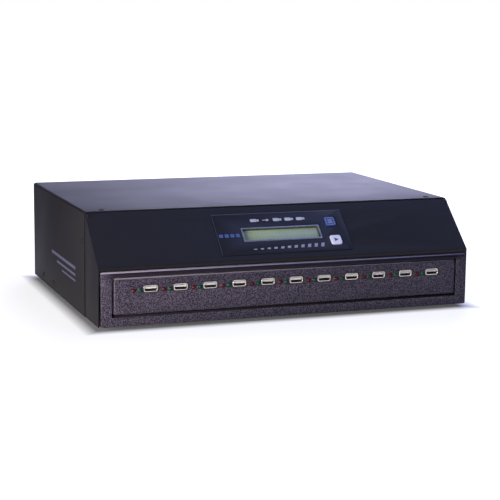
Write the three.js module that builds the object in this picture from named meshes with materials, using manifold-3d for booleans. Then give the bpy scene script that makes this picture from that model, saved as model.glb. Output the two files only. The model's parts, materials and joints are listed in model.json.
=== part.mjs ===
// Desktop copier for USB flash drives: a folded steel case with a sloped display panel, eleven
// sockets with lamp pairs in an inset front panel, and the boards, power supply and fan inside.
// Millimetres, +Z up. The front faces -Y and +X is to the right of someone who faces it.
import * as THREE from "three";
import { mergeVertices } from "three/addons/utils/BufferGeometryUtils.js";
import Module from "manifold-3d";

const wasm = await Module();
wasm.setup();

// Case
const caseWidth = 392.4;
const caseDepth = 287.6; // from the hood's front band to the rear wall's outer face
const caseHeight = 104.3; // from the floor's underside to the top
const sheet = 1.2;
const bendRadius = 0.9; // inside radius of every bend
const fitGap = 0.3; // between pieces that lie on or in each other
const overrun = 3; // how far a cutting shape runs past what it cuts
const mergeWithin = 1e-4; // vertices closer than this are one
const bendSteps = 3;
const arcSteps = 2; // in the corner of a plate or frame
const smallArcSteps = 1;
const postSides = 6;
const studSides = 8;
const pinSides = 12;

// Hood: the sloped front with its two cheeks
const slopeRun = 51.2; // from the front band back to the top edge of the slope
const ledgeHeight = 52.8; // top of the front plate
const bandHeight = 4.5; // of the hood's upright band, between ledge and slope
const seamGap = 1; // between cheek and cover side
const tuckLength = 12; // of the flanges that lie under the cover
const jogLength = 5; // in which a cheek steps in behind the cover
const studRadius = 2;

// Front plate and the port panel in its opening
const plateProud = 2.5;
const plateSheet = 1.5;
const plateBend = 2.5; // inside radius of its top edge
const plateGroove = 1.2; // between the plate's end and the cheek
const plateFlange = 11;
const panelMargin = 12; // from the plate's ends to the panel
const panelTopMargin = 5.9;
const panelBottom = 11.3;
const panelOffset = 0.4; // the panel sits a little to the right in its opening
const panelGap = 1; // above the panel
const panelSideGap = 1.4;
const panelBottomGap = 2.3;
const panelDepth = 9;
const panelBend = 0.8;
const panelCorner = 1.6;

// USB sockets
const portPitch = 30;
const portRowMargin = 31.8; // half of what the panel is longer than the row, give or take half a pitch
const portOffset = 5.3; // middle of the row, right of the case's middle
const portRiseShare = 0.683; // of the panel's height, from its lower edge
const portShell = new THREE.Vector2(13.1, 5.7);
const portShellWall = 0.35;
const portShellCorner = 1.2;
const portLength = 14;
const portCavity = 9.5;
const portFlare = 0.65; // how far the lip spreads on each side
const portFlareLength = 1.5;
const portLipEdge = 0.3;
const portRecess = 0.3; // of the lip behind the panel's face
const portCutClearance = 0.6;
const portCutCorner = 1.2;
const tongueWidth = 11.1;
const tongueThickness = 1.84;
const tongueDrop = 0.7; // from the shell's upper wall
const tongueRecess = 0.5;

// Lamps
const lampRadius = 2;
const lampLength = 5.3;
const lampRimRadius = 2.3;
const lampRimLength = 1;
const lampSides = 8;
const lampProud = 0.8;
const lampDrop = 1.2; // below the sockets' middle
const lampHole = 0.15; // clearance round a lamp
const redLampShare = 0.372; // of the free panel between two sockets' lips, from the left one
const greenLampShare = 0.782;
const legThickness = 0.5;
const legSpacing = 2.54;
const legRun = 2;

// Circuit boards
const boardThickness = 1.6;
const postRadius = 3;
const portBoardMargin = 24; // past the first and last socket
const portBoardDepth = 46;
const portBoardInset = 3.6; // from the panel's back to the board's front edge
const portBoardPosts = 4;
const postInset = 6;
const hubChip = new THREE.Vector3(12, 12, 1.6);

// Display on the slope, placed by s, the distance up the slope from the knee
const overlayWidth = 140;
const overlayStart = 6.7;
const overlayEnd = 58.6;
const overlayThickness = 0.5;
const overlayCorner = 1.5;
const glueLine = 0.1;
const displayWidth = 84.9;
const displayHeight = 18.2;
const displayX = -1.05;
const displayS = 31.4;
const displayRim = 1.7;
const displayRimProud = 0.3;
const displayDepth = 6;
const displayRecess = 1.5;
const displayCorner = 0.8;
const moduleSize = new THREE.Vector3(91, 24, 2.4);
const displayBoard = new THREE.Vector2(94, 34);
const displayStudInset = 3;

// Two keys and the board with their switches
const keySize = 11.6;
const keyCorner = 2.2;
const setKeyS = 43.1;
const runKeyS = 19.5;
const keyProud = 1; // above the overlay
const keyTravel = 1;
const keyChamfer = 0.4;
const keyFlange = 0.8;
const keyFlangeThickness = 1;
const keyStemRadius = 1.5;
const keyStemLength = 0.9;
const tactBody = new THREE.Vector3(6, 6, 3.5);
const tactPlunger = 1;
const tactPlungerRadius = 1.75;
const keyBoardWidth = 16.4;
const keyBoardMargin = 12;

// Floor pan
const lipDepth = 13;
const sideLip = 14;
const wallFlange = 12;
const ventSlot = new THREE.Vector2(3, 26);
const ventPitch = 7;
const rearVents = 13;
const rearVentX = 5;
const rearVentHeight = 56;
const floorVents = 14;

// Feet
const footHeight = 4;
const footRadius = 9;
const footTopRadius = 10;
const footRecessRadius = 4;
const footRecessDepth = 2;
const footInset = new THREE.Vector2(30, 42);
const footSides = 16;

// Fan
const fanSize = 80;
const fanDepth = 25;
const fanSides = 32;
const fanInset = 78; // from the case's side
const ductMargin = 1.8; // least metal beside the duct
const fanWall = 1.6;
const fanFlange = 4;
const fanCorner = 4;
const fanScrewInset = 4.25;
const fanScrewRadius = 2.15;
const motorRadius = 16;
const motorThickness = 4;
const strutWidth = 4;
const strutThickness = 2.5;
const statorGap = 1.5;
const statorLength = 14;
const shaftRadius = 1.5;
const hubRadius = 17.5;
const hubDepth = 18;
const hubWall = 1.8;
const bladeCount = 7;
const tipGap = 1.4;
const bladeThickness = 1.7;
const bladeRootChord = 16;
const bladeTipChord = 26;
const bladeRootPitch = THREE.MathUtils.degToRad(48);
const bladeTipPitch = THREE.MathUtils.degToRad(30);
const bladeSections = 4;
const bladeSides = 8;
const hubSides = 28;
const motorSides = 24;

// Finger guard over the fan
const guardWire = 0.8;
const guardRings = 5;
const guardInner = 8;
const guardMargin = 2.2; // from the duct's edge to the outer ring
const guardEye = 3;
const wireSides = 5;
const guardOverlap = 0.3;

// Mains inlet
const inletInset = 56; // from the case's side
const inletHeight = 40;
const inletFlange = new THREE.Vector3(50, 28, 3);
const inletFlangeCorner = 4;
const inletScrewPitch = 40;
const inletScrewRadius = 1.75;
const inletBody = new THREE.Vector2(28.6, 20.6);
const inletCavity = new THREE.Vector2(24.6, 16.6);
const inletChamfer = 4.5;
const inletCavityDepth = 17;
const inletFloor = 3;
const inletPin = new THREE.Vector2(2, 4);
const inletPinPitch = 14;
const inletPinDrop = 2;
const inletPinRecess = 5;
const inletTab = new THREE.Vector3(6.3, 0.8, 7);

// Power switch
const switchReach = 42; // from the inlet's middle
const switchBezel = new THREE.Vector3(15, 21, 2);
const switchBezelCorner = 1.2;
const switchBody = new THREE.Vector3(12.8, 18.6, 12);
const rockerWidth = 8.8;
const rockerLength = 16.4;
const rockerTilt = THREE.MathUtils.degToRad(11);
const rockerPivotDepth = 2.2; // behind the bezel's face
const rockerHeight = 3.2; // of the rocker's waist above its pivot
const rockerSkirt = 2.6;
const rockerPinRadius = 1;
const rockerPinLength = 1;
const rockerCavityDepth = 6.5;
const rockerWaistShares = [0.55, 0.92, 0.97, 0.45]; // half widths of foot, side, tip and dip
const rockerDipShare = 0.35;
const switchTab = new THREE.Vector3(4.8, 0.8, 6);

// Controller board
const controllerBoard = new THREE.Vector2(160, 110);
const controllerX = -55;
const controllerY = 150;
const controllerStand = 8;
const processorSize = 28;
const processorThickness = 3;
const heatSinkSize = 40;
const heatSinkHeight = 16;
const heatSinkBase = 3;
const heatSinkFins = 9;
const finThickness = 1.2;
const memoryChip = new THREE.Vector3(18, 11, 1.2);
const memoryChips = 4;
const memoryPitch = 17;
const capacitorRadius = 4;
const capacitorHeight = 12;
const capacitorPitch = 13;
const capacitors = 4;
const headerSize = new THREE.Vector3(30, 9, 9);
const powerHeader = new THREE.Vector3(18, 8, 8);

// Ribbon from the controller to the display
const ribbonWidth = 25.4;
const ribbonThickness = 0.9;
const ribbonPlug = new THREE.Vector3(28, 6, 6);
const ribbonSwingShare = 0.4; // how far each end runs straight, of the span
const ribbonSteps = 14;

// Power supply
const supplySize = new THREE.Vector3(110, 100, 38);
const supplyInset = 80; // from the case's side to the supply's middle
const supplyBehind = 40; // free depth behind it
const supplyShelf = 13;
const terminalWidth = 76;
const terminalHeight = 14;
const terminalCount = 8;
const terminalBarrier = 1.6;
const terminalStep = 5;
const supplySlots = 9;
const supplySlot = new THREE.Vector2(3, 60);
const supplySlotDepth = 1.5;

// Harness from the supply to the controller
const harnessRadius = 2.6;
const harnessSteps = 12;
const harnessSides = 8;

const xAxis = new THREE.Vector3(1, 0, 0);
const yAxis = new THREE.Vector3(0, 1, 0);
const zAxis = new THREE.Vector3(0, 0, 1);

// Places that follow from the sizes above
const halfWidth = caseWidth / 2;
const plateReach = halfWidth - sheet - plateGroove;
const panelWidth = 2 * (plateReach - panelMargin);
const panelHeight = ledgeHeight - panelTopMargin - panelBottom;
const portCount = Math.round((panelWidth - 2 * portRowMargin) / portPitch) + 1;
const portHeight = panelBottom + portRiseShare * panelHeight;
const betweenLips = portPitch - portShell.x - 2 * portFlare;
const redLampReach = portPitch / 2 + betweenLips * (1 / 2 - redLampShare);
const greenLampReach = portPitch / 2 + betweenLips * (1 / 2 - greenLampShare);
const lampHeight = portHeight - lampDrop;
const kneeHeight = ledgeHeight + bandHeight; // where the slope begins
const coverFront = slopeRun;
const cheekRear = coverFront - seamGap;
const innerTop = caseHeight - sheet - fitGap; // top face of what lies under the cover
const innerSide = halfWidth - sheet - fitGap; // outer face of what lies inside the cover's sides
const slopeAngle = Math.atan2(caseHeight - kneeHeight, slopeRun);
const plateBack = plateSheet - plateProud;
const panelBack = sheet - plateProud;
const wallInner = caseDepth - sheet;
const fanX = fanInset - halfWidth;
const fanHeight = caseHeight / 2;
const fanDuct = fanSize / 2 - ductMargin;
const fanScrewPitch = fanSize - 2 * fanScrewInset;
const statorRadius = hubRadius - hubWall - statorGap;
const bladeTip = fanDuct - tipGap;
const guardOuter = fanDuct - guardMargin;
const inletX = halfWidth - inletInset;
const switchX = inletX - switchReach;
const supplyX = halfWidth - supplyInset;
const supplyY = wallInner - supplyBehind - supplySize.y / 2;
const portBoardTop = portHeight - portShell.y / 2 - fitGap;
const portBoardFront = panelBack + portBoardInset;
const slopeBack = -sheet;
const overlayTop = glueLine + overlayThickness;
const displayBack = slopeBack - displayDepth;
const displayBoardTop = displayBack - fitGap - moduleSize.z;
const keyFlangeTop = slopeBack - fitGap;
const keyStemEnd = keyFlangeTop - keyFlangeThickness - keyStemLength;
const keyBoardTop = keyStemEnd - keyTravel - fitGap - tactPlunger - tactBody.z;
const keyX = displayX + displayBoard.x / 2 + fitGap + keyBoardWidth / 2;
const keyBoardEnds = [runKeyS - keyBoardMargin, setKeyS + keyBoardMargin];
const keyStudS = [keyBoardEnds[0] + studRadius, keyBoardEnds[1] - studRadius];
const slopeMatrix = new THREE.Matrix4().makeRotationX(slopeAngle).setPosition(0, 0, kneeHeight);
const portBoardWidth = (portCount - 1) * portPitch + 2 * portBoardMargin;
const fourCorners = [
  [-1, -1],
  [1, -1],
  [-1, 1],
  [1, 1],
];
const rearFace = caseDepth + fitGap; // inner face of what is screwed on from behind
const controllerTop = sheet + fitGap + controllerStand + boardThickness;

// Finishes
function finish(color, roughness, metalness) {
  return new THREE.MeshStandardMaterial({ color, roughness, metalness });
}

const blackCoat = finish(0x3a3a42, 0.62, 0.1);
const speckledCoat = finish(0x4a444e, 0.7, 0.1);
const overlayFilm = finish(0x14161c, 0.4, 0);
const bareSteel = finish(0xc9c6c0, 0.3, 1);
const silverFrame = finish(0xb9bcc0, 0.35, 0.8);
const displayGlass = finish(0x9fae93, 0.2, 0);
const blueKey = finish(0x1e4c9c, 0.45, 0);
const whiteKey = finish(0xe9e9ee, 0.45, 0);
const redLens = finish(0x8c1420, 0.25, 0);
const greenLens = finish(0x1a7a4c, 0.25, 0);
const boardGreen = finish(0x1f6b3a, 0.5, 0);
const blackPlastic = finish(0x17171a, 0.5, 0);
const blackRubber = finish(0x1b1b1c, 0.85, 0);
const zincSteel = finish(0xa8abb0, 0.4, 0.9);
const greyRibbon = finish(0x9a9aa0, 0.6, 0);
const wireSheath = finish(0x202024, 0.6, 0);

// Solids: closed geometry in, manifold solid out, so pieces can be joined and cut
function solid(shape) {
  if (shape instanceof wasm.Manifold) return shape;
  const bare = shape.clone();
  for (const name of Object.keys(bare.attributes)) {
    if (name !== "position") bare.deleteAttribute(name);
  }
  const merged = mergeVertices(bare, mergeWithin);
  return new wasm.Manifold(
    new wasm.Mesh({
      numProp: 3,
      vertProperties: merged.attributes.position.array,
      triVerts: new Uint32Array(merged.index.array),
    }),
  );
}

function join(...shapes) {
  return shapes.map(solid).reduce((all, next) => all.add(next));
}

function cut(body, ...tools) {
  return tools.map(solid).reduce((left, tool) => left.subtract(tool), solid(body));
}

function geometryOf(body) {
  const mesh = solid(body).getMesh();
  const geometry = new THREE.BufferGeometry();
  geometry.setAttribute("position", new THREE.BufferAttribute(new Float32Array(mesh.vertProperties), 3));
  geometry.setIndex(new THREE.BufferAttribute(new Uint32Array(mesh.triVerts), 1));
  const flat = geometry.toNonIndexed();
  flat.computeVertexNormals();
  return flat;
}

// Outlines
function rectangle(width, height, x = 0, y = 0) {
  return [
    new THREE.Vector2(x - width / 2, y - height / 2),
    new THREE.Vector2(x + width / 2, y - height / 2),
    new THREE.Vector2(x + width / 2, y + height / 2),
    new THREE.Vector2(x - width / 2, y + height / 2),
  ];
}

function roundedRectangle(width, height, radius, steps, x = 0, y = 0) {
  const round = Math.min(radius, width / 2, height / 2);
  return rectangle(width - 2 * round, height - 2 * round, x, y).flatMap((centre, corner) =>
    Array.from({ length: steps + 1 }, (_, step) => {
      const angle = Math.PI * (1 + corner / 2 + step / steps / 2);
      return new THREE.Vector2(centre.x + round * Math.cos(angle), centre.y + round * Math.sin(angle));
    }),
  );
}

function circle(radius, sides, x = 0, y = 0) {
  return Array.from({ length: sides }, (_, side) => {
    const angle = (2 * Math.PI * side) / sides;
    return new THREE.Vector2(x + radius * Math.cos(angle), y + radius * Math.sin(angle));
  });
}

// A path with each corner turned into an arc; radiusAt says how round a left or right turn is
function roundCorners(path, radiusAt) {
  const rounded = [path[0]];
  for (let i = 1; i < path.length - 1; i++) {
    const before = path[i].clone().sub(path[i - 1]);
    const after = path[i + 1].clone().sub(path[i]);
    const room = Math.min(before.length(), after.length()) / 2;
    before.normalize();
    after.normalize();
    const turn = Math.atan2(before.cross(after), before.dot(after));
    const radius = Math.min(radiusAt(turn), room / Math.tan(Math.abs(turn) / 2));
    const reach = radius * Math.tan(Math.abs(turn) / 2);
    const start = path[i].clone().addScaledVector(before, -reach);
    const side = Math.sign(turn);
    const centre = start.clone().add(new THREE.Vector2(-before.y, before.x).multiplyScalar(side * radius));
    for (let step = 0; step <= bendSteps; step++) {
      rounded.push(start.clone().rotateAround(centre, (turn * step) / bendSteps));
    }
  }
  rounded.push(path[path.length - 1]);
  return rounded;
}

// The section of a folded sheet: the path is one face and the other lies to its left
function foldedSheet(path, thickness, inside = bendRadius) {
  const left = (a, b) => {
    const along = b.clone().sub(a).normalize();
    return new THREE.Vector2(-along.y, along.x);
  };
  const offset = path.map((point, i) => {
    const first = left(path[Math.max(i - 1, 0)], path[Math.max(i, 1)]);
    const last = left(path[Math.min(i, path.length - 2)], path[Math.min(i + 1, path.length - 1)]);
    const mitre = first.clone().add(last).divideScalar(1 + first.dot(last));
    return point.clone().addScaledVector(mitre, thickness);
  });
  const near = roundCorners(path, (turn) => (turn > 0 ? inside + thickness : inside));
  const far = roundCorners(offset, (turn) => (turn > 0 ? inside : inside + thickness));
  return near.concat(far.reverse());
}

function points(...pairs) {
  return pairs.map(([u, v]) => new THREE.Vector2(u, v));
}

// Bodies from outlines
function extrude(outline, depth, holes = []) {
  const shape = new THREE.Shape(outline);
  shape.holes = holes.map((hole) => new THREE.Path(hole));
  return new THREE.ExtrudeGeometry(shape, { depth, bevelEnabled: false });
}

// A (y, z) section made into a bar from one x to another
function alongX(section, from, to) {
  const turned = new THREE.Matrix4().makeBasis(yAxis, zAxis, xAxis).setPosition(from, 0, 0);
  return extrude(section, to - from).applyMatrix4(turned);
}

// An (x, z) outline made into a plate from one y to another
function alongY(outline, from, to, holes = []) {
  const turned = new THREE.Matrix4().makeBasis(xAxis, zAxis, yAxis.clone().negate()).setPosition(0, to, 0);
  return extrude(outline, to - from, holes).applyMatrix4(turned);
}

// An (x, y) outline made into a plate from one z to another
function alongZ(outline, from, to, holes = []) {
  return extrude(outline, to - from, holes).translate(0, 0, from);
}

function block(x, y, z) {
  const box = new THREE.BoxGeometry(x[1] - x[0], y[1] - y[0], z[1] - z[0]);
  return box.translate((x[0] + x[1]) / 2, (y[0] + y[1]) / 2, (z[0] + z[1]) / 2);
}

function around(middle, size) {
  return [middle - size / 2, middle + size / 2];
}

function post(radius, from, to, x, y, sides = postSides) {
  return alongZ(circle(radius, sides, x, y), from, to);
}

// A closed skin through rings of equal length, with its first and last ring filled in
function loft(rings) {
  const count = rings[0].length;
  const position = rings.flat().flatMap((p) => [p.x, p.y, p.z]);
  const index = [];
  for (let ring = 0; ring < rings.length - 1; ring++) {
    for (let i = 0; i < count; i++) {
      const a = ring * count + i;
      const b = ring * count + ((i + 1) % count);
      index.push(a, b, b + count, a, b + count, a + count);
    }
  }
  const last = (rings.length - 1) * count;
  for (let i = 1; i < count - 1; i++) {
    index.push(0, i + 1, i, last, last + i, last + i + 1);
  }
  const geometry = new THREE.BufferGeometry();
  geometry.setAttribute("position", new THREE.Float32BufferAttribute(position, 3));
  geometry.setIndex(index);
  return facingOut(geometry);
}

function facingOut(geometry) {
  const place = geometry.attributes.position;
  const order = geometry.index.array;
  const corner = (i) => new THREE.Vector3().fromBufferAttribute(place, order[i]);
  let volume = 0;
  for (let i = 0; i < order.length; i += 3) {
    volume += corner(i).dot(corner(i + 1).cross(corner(i + 2)));
  }
  if (volume < 0) {
    for (let i = 0; i < order.length; i += 3) {
      [order[i + 1], order[i + 2]] = [order[i + 2], order[i + 1]];
    }
  }
  return geometry;
}

// An (x, z) outline as a ring at one y
function ringAtY(outline, y) {
  return outline.map((p) => new THREE.Vector3(p.x, y, p.y));
}

// An (x, y) outline as a ring at one z
function ringAtZ(outline, z) {
  return outline.map((p) => new THREE.Vector3(p.x, p.y, z));
}

// Folded hood: the slope, the knee, the upright band and its return, with a cheek at each end
function frontHood() {
  const slopeTop = (innerTop - kneeHeight) / Math.tan(slopeAngle);
  const section = foldedSheet(
    points(
      [coverFront + tuckLength, innerTop],
      [slopeTop, innerTop],
      [0, kneeHeight],
      [0, ledgeHeight + fitGap],
      [plateFlange, ledgeHeight + fitGap],
    ),
    sheet,
  );
  const cheekInner = halfWidth - sheet;
  const cheek = points([0, 0], [cheekRear, 0], [cheekRear, innerTop], [slopeTop, innerTop], [0, kneeHeight]);
  const flangeReach = innerSide - bendRadius;
  const flangeEnds = [-1, 1].map((side) =>
    block(
      [side * flangeReach, side * (halfWidth + overrun)].sort((a, b) => a - b),
      [cheekRear, coverFront + tuckLength + overrun],
      [innerTop - 2 * sheet, innerTop + overrun],
    ),
  );
  let hood = cut(alongX(section, -cheekInner - fitGap, cheekInner + fitGap), ...flangeEnds);
  // Where a cheek steps in, it passes behind the cover's side and over the floor pan's lip
  const tuck = foldedSheet(
    points(
      [cheekInner + sheet / 2, cheekRear - jogLength],
      [innerSide, cheekRear],
      [innerSide, coverFront + tuckLength],
    ),
    sheet,
  );
  const tuckBase = sheet + sideLip + fitGap;
  const tuckSide = alongZ(tuck, tuckBase, innerTop - sheet);
  for (const side of [-1, 1]) {
    const ends = [side * cheekInner, side * halfWidth].sort((a, b) => a - b);
    hood = join(hood, alongX(cheek, ...ends), side > 0 ? tuckSide : mirrorX(tuckSide));
  }
  const onSlope = (shape) => shape.applyMatrix4(slopeMatrix);
  const keyHole = keySize + 2 * fitGap;
  const holes = [rectangle(displayWidth, displayHeight, displayX, displayS)].concat(
    [setKeyS, runKeyS].map((s) => roundedRectangle(keyHole, keyHole, keyCorner + fitGap, arcSteps, keyX, s)),
  );
  const studs = [];
  for (const sideX of [-1, 1]) {
    for (const sideS of [-1, 1]) {
      const x = displayX + sideX * (displayBoard.x / 2 - displayStudInset);
      const s = displayS + sideS * (displayBoard.y / 2 - displayStudInset);
      studs.push(post(studRadius, displayBoardTop + fitGap, -sheet / 2, x, s, studSides));
    }
  }
  for (const s of keyStudS) {
    studs.push(post(studRadius, keyBoardTop + fitGap, -sheet / 2, keyX, s, studSides));
  }
  const cutters = holes.map((hole) => onSlope(alongZ(hole, slopeBack - overrun, overrun)));
  return cut(join(hood, ...studs.map(onSlope)), ...cutters);
}

function mirrorX(shape) {
  const flipped = (shape.index ? shape.toNonIndexed() : shape.clone()).scale(-1, 1, 1);
  const place = flipped.attributes.position;
  for (let i = 0; i < place.count; i += 3) {
    for (let axis = 0; axis < 3; axis++) {
      const kept = place.getComponent(i + 1, axis);
      place.setComponent(i + 1, axis, place.getComponent(i + 2, axis));
      place.setComponent(i + 2, axis, kept);
    }
  }
  return flipped;
}

// Cover: top and both sides in one bent sheet
function topCover() {
  const section = foldedSheet(
    points([halfWidth, 0], [halfWidth, caseHeight], [-halfWidth, caseHeight], [-halfWidth, 0]),
    sheet,
  );
  return alongY(section, coverFront, caseDepth);
}

// Floor pan: front lip, floor, rear wall and its flange in one fold, with lips along the sides
function floorPan() {
  const lipFront = plateBack + fitGap;
  const lipTop = panelBottom - fitGap;
  const section = foldedSheet(
    points(
      [lipFront + lipDepth, lipTop],
      [lipFront, lipTop],
      [lipFront, 0],
      [caseDepth, 0],
      [caseDepth, innerTop],
      [caseDepth - wallFlange, innerTop],
    ),
    sheet,
  );
  const lipStart = lipFront + sheet;
  const edge = foldedSheet(
    points([innerSide - wallFlange, 0], [innerSide, 0], [innerSide, sheet + sideLip]),
    sheet,
  );
  const wallEdge = foldedSheet(
    points(
      [innerSide - wallFlange, caseDepth],
      [innerSide, caseDepth],
      [innerSide, caseDepth - wallFlange],
    ).reverse(),
    sheet,
  );
  const side = alongY(edge, lipStart, wallInner + sheet / 2);
  const wallSide = alongZ(wallEdge, sheet / 2, innerTop - sheet / 2);
  const inset = innerSide - bendRadius - sheet;
  const lip = alongX(section, -inset, inset);
  const pan = join(lip, side, mirrorX(side), wallSide, mirrorX(wallSide));
  const tools = [
    alongY(circle(fanDuct - fitGap, fanSides, fanX, fanHeight), wallInner - overrun, caseDepth + overrun),
    alongY(
      rectangle(inletBody.x + 2 * fitGap, inletBody.y + 2 * fitGap, inletX, inletHeight),
      wallInner - overrun,
      caseDepth + overrun,
    ),
    alongY(
      rectangle(switchBody.x + 2 * fitGap, switchBody.y + 2 * fitGap, switchX, inletHeight),
      wallInner - overrun,
      caseDepth + overrun,
    ),
  ];
  for (let i = 0; i < rearVents; i++) {
    const x = rearVentX + (i - (rearVents - 1) / 2) * ventPitch;
    const slot = roundedRectangle(ventSlot.x, ventSlot.y, ventSlot.x / 2, smallArcSteps, x, rearVentHeight);
    tools.push(alongY(slot, wallInner - overrun, caseDepth + overrun));
  }
  for (let i = 0; i < floorVents; i++) {
    const x = controllerX + (i - (floorVents - 1) / 2) * ventPitch;
    const slot = roundedRectangle(ventSlot.x, ventSlot.y, ventSlot.x / 2, smallArcSteps, x, controllerY);
    tools.push(alongZ(slot, -overrun, sheet + overrun));
  }
  for (const [sideX, sideZ] of fourCorners) {
    const x = fanX + (sideX * fanScrewPitch) / 2;
    const z = fanHeight + (sideZ * fanScrewPitch) / 2;
    tools.push(alongY(circle(fanScrewRadius, studSides, x, z), wallInner - overrun, caseDepth + overrun));
  }
  return cut(pan, ...tools);
}

// Front plate: one upright sheet with its top edge turned back under the hood's band
function frontPlate() {
  const section = foldedSheet(
    points([plateFlange, ledgeHeight], [-plateProud, ledgeHeight], [-plateProud, 0]),
    plateSheet,
    plateBend,
  );
  const width = around(0, panelWidth + 2 * panelSideGap);
  const bottom = panelBottom - panelBottomGap;
  const top = panelBottom + panelHeight + panelGap;
  const opening = block(width, [-plateProud - overrun, plateBack + overrun], [bottom, top]);
  return cut(alongX(section, -plateReach, plateReach), opening);
}

// Port panel: a shallow tray with rounded front edges, pierced for the sockets and lamps
function portPanel() {
  const outline = (inset, y) =>
    ringAtY(
      roundedRectangle(
        panelWidth - 2 * inset,
        panelHeight - 2 * inset,
        panelCorner,
        arcSteps,
        panelOffset,
        panelBottom + panelHeight / 2,
      ),
      y - plateProud,
    );
  const bend = (radius, outset, from) =>
    Array.from({ length: bendSteps + 1 }, (_, step) => {
      const angle = (Math.PI / 2) * (step / bendSteps);
      return outline(outset + radius * (1 - Math.cos(angle)), from - radius * Math.sin(angle));
    });
  const outer = panelBend + sheet;
  const rings = [
    outline(0, panelDepth),
    ...bend(outer, 0, outer),
  ];
  const inner = [outline(sheet, panelDepth), ...bend(panelBend, sheet, outer)];
  const tray = loft([...inner.reverse(), ...rings]);
  const tools = [];
  for (let i = 0; i < portCount; i++) {
    const x = portX(i);
    const lip = portShell.clone().addScalar(2 * (portFlare + portCutClearance));
    const slot = roundedRectangle(lip.x, lip.y, portCutCorner, smallArcSteps, x, portHeight);
    tools.push(alongY(slot, -plateProud - overrun, overrun));
    for (const reach of [redLampReach, greenLampReach]) {
      const hole = circle(lampRadius + lampHole, lampSides, x - reach, lampHeight);
      tools.push(alongY(hole, -plateProud - overrun, overrun));
    }
  }
  return cut(tray, ...tools);
}

function portX(i) {
  return portOffset + (i - (portCount - 1) / 2) * portPitch;
}

// Socket: a drawn shell with a flared lip, closed by its moulded back, and the contact tongue
function usbSocket() {
  const ring = (inset, y) =>
    ringAtY(
      roundedRectangle(
        portShell.x - 2 * inset,
        portShell.y - 2 * inset,
        portShellCorner,
        smallArcSteps,
      ),
      y,
    );
  const shell = loft([
    ring(0, portLength),
    ring(0, portFlareLength),
    ring(-portFlare, portLipEdge),
    ring(-portFlare + portShellWall / 2, 0),
    ring(-portFlare + portShellWall, 0),
    ring(portShellWall, portFlareLength),
    ring(portShellWall, portCavity),
  ]);
  const top = portShell.y / 2 - portShellWall - tongueDrop;
  const tongue = block(
    around(0, tongueWidth),
    [tongueRecess, portCavity + portShellWall],
    [top - tongueThickness, top],
  );
  return join(shell, tongue);
}

// Lamp: a domed lens with a rim, and two legs bent down to the board; its tip is at y = 0
function lamp() {
  const straight = lampLength - lampRadius;
  const halfway = lampRadius * Math.SQRT1_2;
  const profile = points(
    [0, 0],
    [lampRimRadius, 0],
    [lampRimRadius, lampRimLength],
    [lampRadius, lampRimLength],
    [lampRadius, straight],
    [halfway, straight + halfway],
    [0, lampLength],
  );
  const lens = new THREE.LatheGeometry(profile, lampSides).rotateX(Math.PI).translate(0, lampLength, 0);
  const legEnd = portBoardTop + fitGap - lampHeight;
  const back = lampLength + legRun;
  const half = legThickness / 2;
  const leg = points(
    [lampLength - legThickness, -half],
    [back - legThickness, -half],
    [back - legThickness, legEnd],
    [back, legEnd],
    [back, half],
    [lampLength - legThickness, half],
  );
  const legs = [-1, 1].map((side) => alongX(leg, ...around((side * legSpacing) / 2, legThickness)));
  return join(lens, ...legs);
}

// Port board: a long board on posts, with two hub chips
function portBoard() {
  const x = around(portOffset, portBoardWidth);
  const y = [portBoardFront, portBoardFront + portBoardDepth];
  const bottom = portBoardTop - boardThickness;
  const parts = [block(x, y, [bottom, portBoardTop])];
  const postY = y[1] - postInset;
  for (let i = 0; i < portBoardPosts; i++) {
    const along = x[0] + postInset + ((x[1] - x[0] - 2 * postInset) * i) / (portBoardPosts - 1);
    for (const across of [postY, postY - portBoardDepth / 2]) {
      parts.push(post(postRadius, sheet + fitGap, bottom + boardThickness / 2, along, across));
    }
  }
  for (const side of [-1, 1]) {
    parts.push(
      block(
        around(portOffset + (side * portBoardWidth) / 4, hubChip.x),
        around(y[1] - postInset - hubChip.y, hubChip.y),
        [portBoardTop - hubChip.z / 2, portBoardTop + hubChip.z],
      ),
    );
  }
  return join(...parts);
}

// Pieces on the slope are drawn flat, x across and y up the slope, and turned into place
function overlay() {
  const middle = (overlayStart + overlayEnd) / 2;
  const height = overlayEnd - overlayStart;
  const keyHole = keySize + 2 * fitGap;
  return alongZ(
    roundedRectangle(overlayWidth, height, overlayCorner, arcSteps, 0, middle),
    glueLine,
    overlayTop,
    [
      rectangle(displayWidth, displayHeight, displayX, displayS),
      ...[setKeyS, runKeyS].map((s) =>
        roundedRectangle(keyHole, keyHole, keyCorner + fitGap, arcSteps, keyX, s),
      ),
    ],
  );
}

function displayFrame() {
  const width = displayWidth - 2 * fitGap;
  const height = displayHeight - 2 * fitGap;
  const outline = (inset, z) =>
    ringAtZ(
      roundedRectangle(
        width - 2 * inset,
        height - 2 * inset,
        displayCorner,
        arcSteps,
        displayX,
        displayS,
      ),
      z,
    );
  const top = overlayTop + displayRimProud;
  const rings = [
    outline(0, displayBack),
    outline(0, top - displayRimProud),
    outline(displayRimProud, top),
    outline(displayRim - displayRimProud, top),
    outline(displayRim, top - displayRimProud),
    outline(displayRim, displayBack),
  ];
  return closedLoft(rings);
}

// A skin through rings that returns to its first ring, as round a frame
function closedLoft(rings) {
  const count = rings[0].length;
  const position = rings.flat().flatMap((p) => [p.x, p.y, p.z]);
  const total = rings.length * count;
  const index = [];
  for (let ring = 0; ring < rings.length; ring++) {
    for (let i = 0; i < count; i++) {
      const a = ring * count + i;
      const b = ring * count + ((i + 1) % count);
      const c = (b + count) % total;
      const d = (a + count) % total;
      index.push(a, b, c, a, c, d);
    }
  }
  const geometry = new THREE.BufferGeometry();
  geometry.setAttribute("position", new THREE.Float32BufferAttribute(position, 3));
  geometry.setIndex(index);
  return facingOut(geometry);
}

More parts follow.
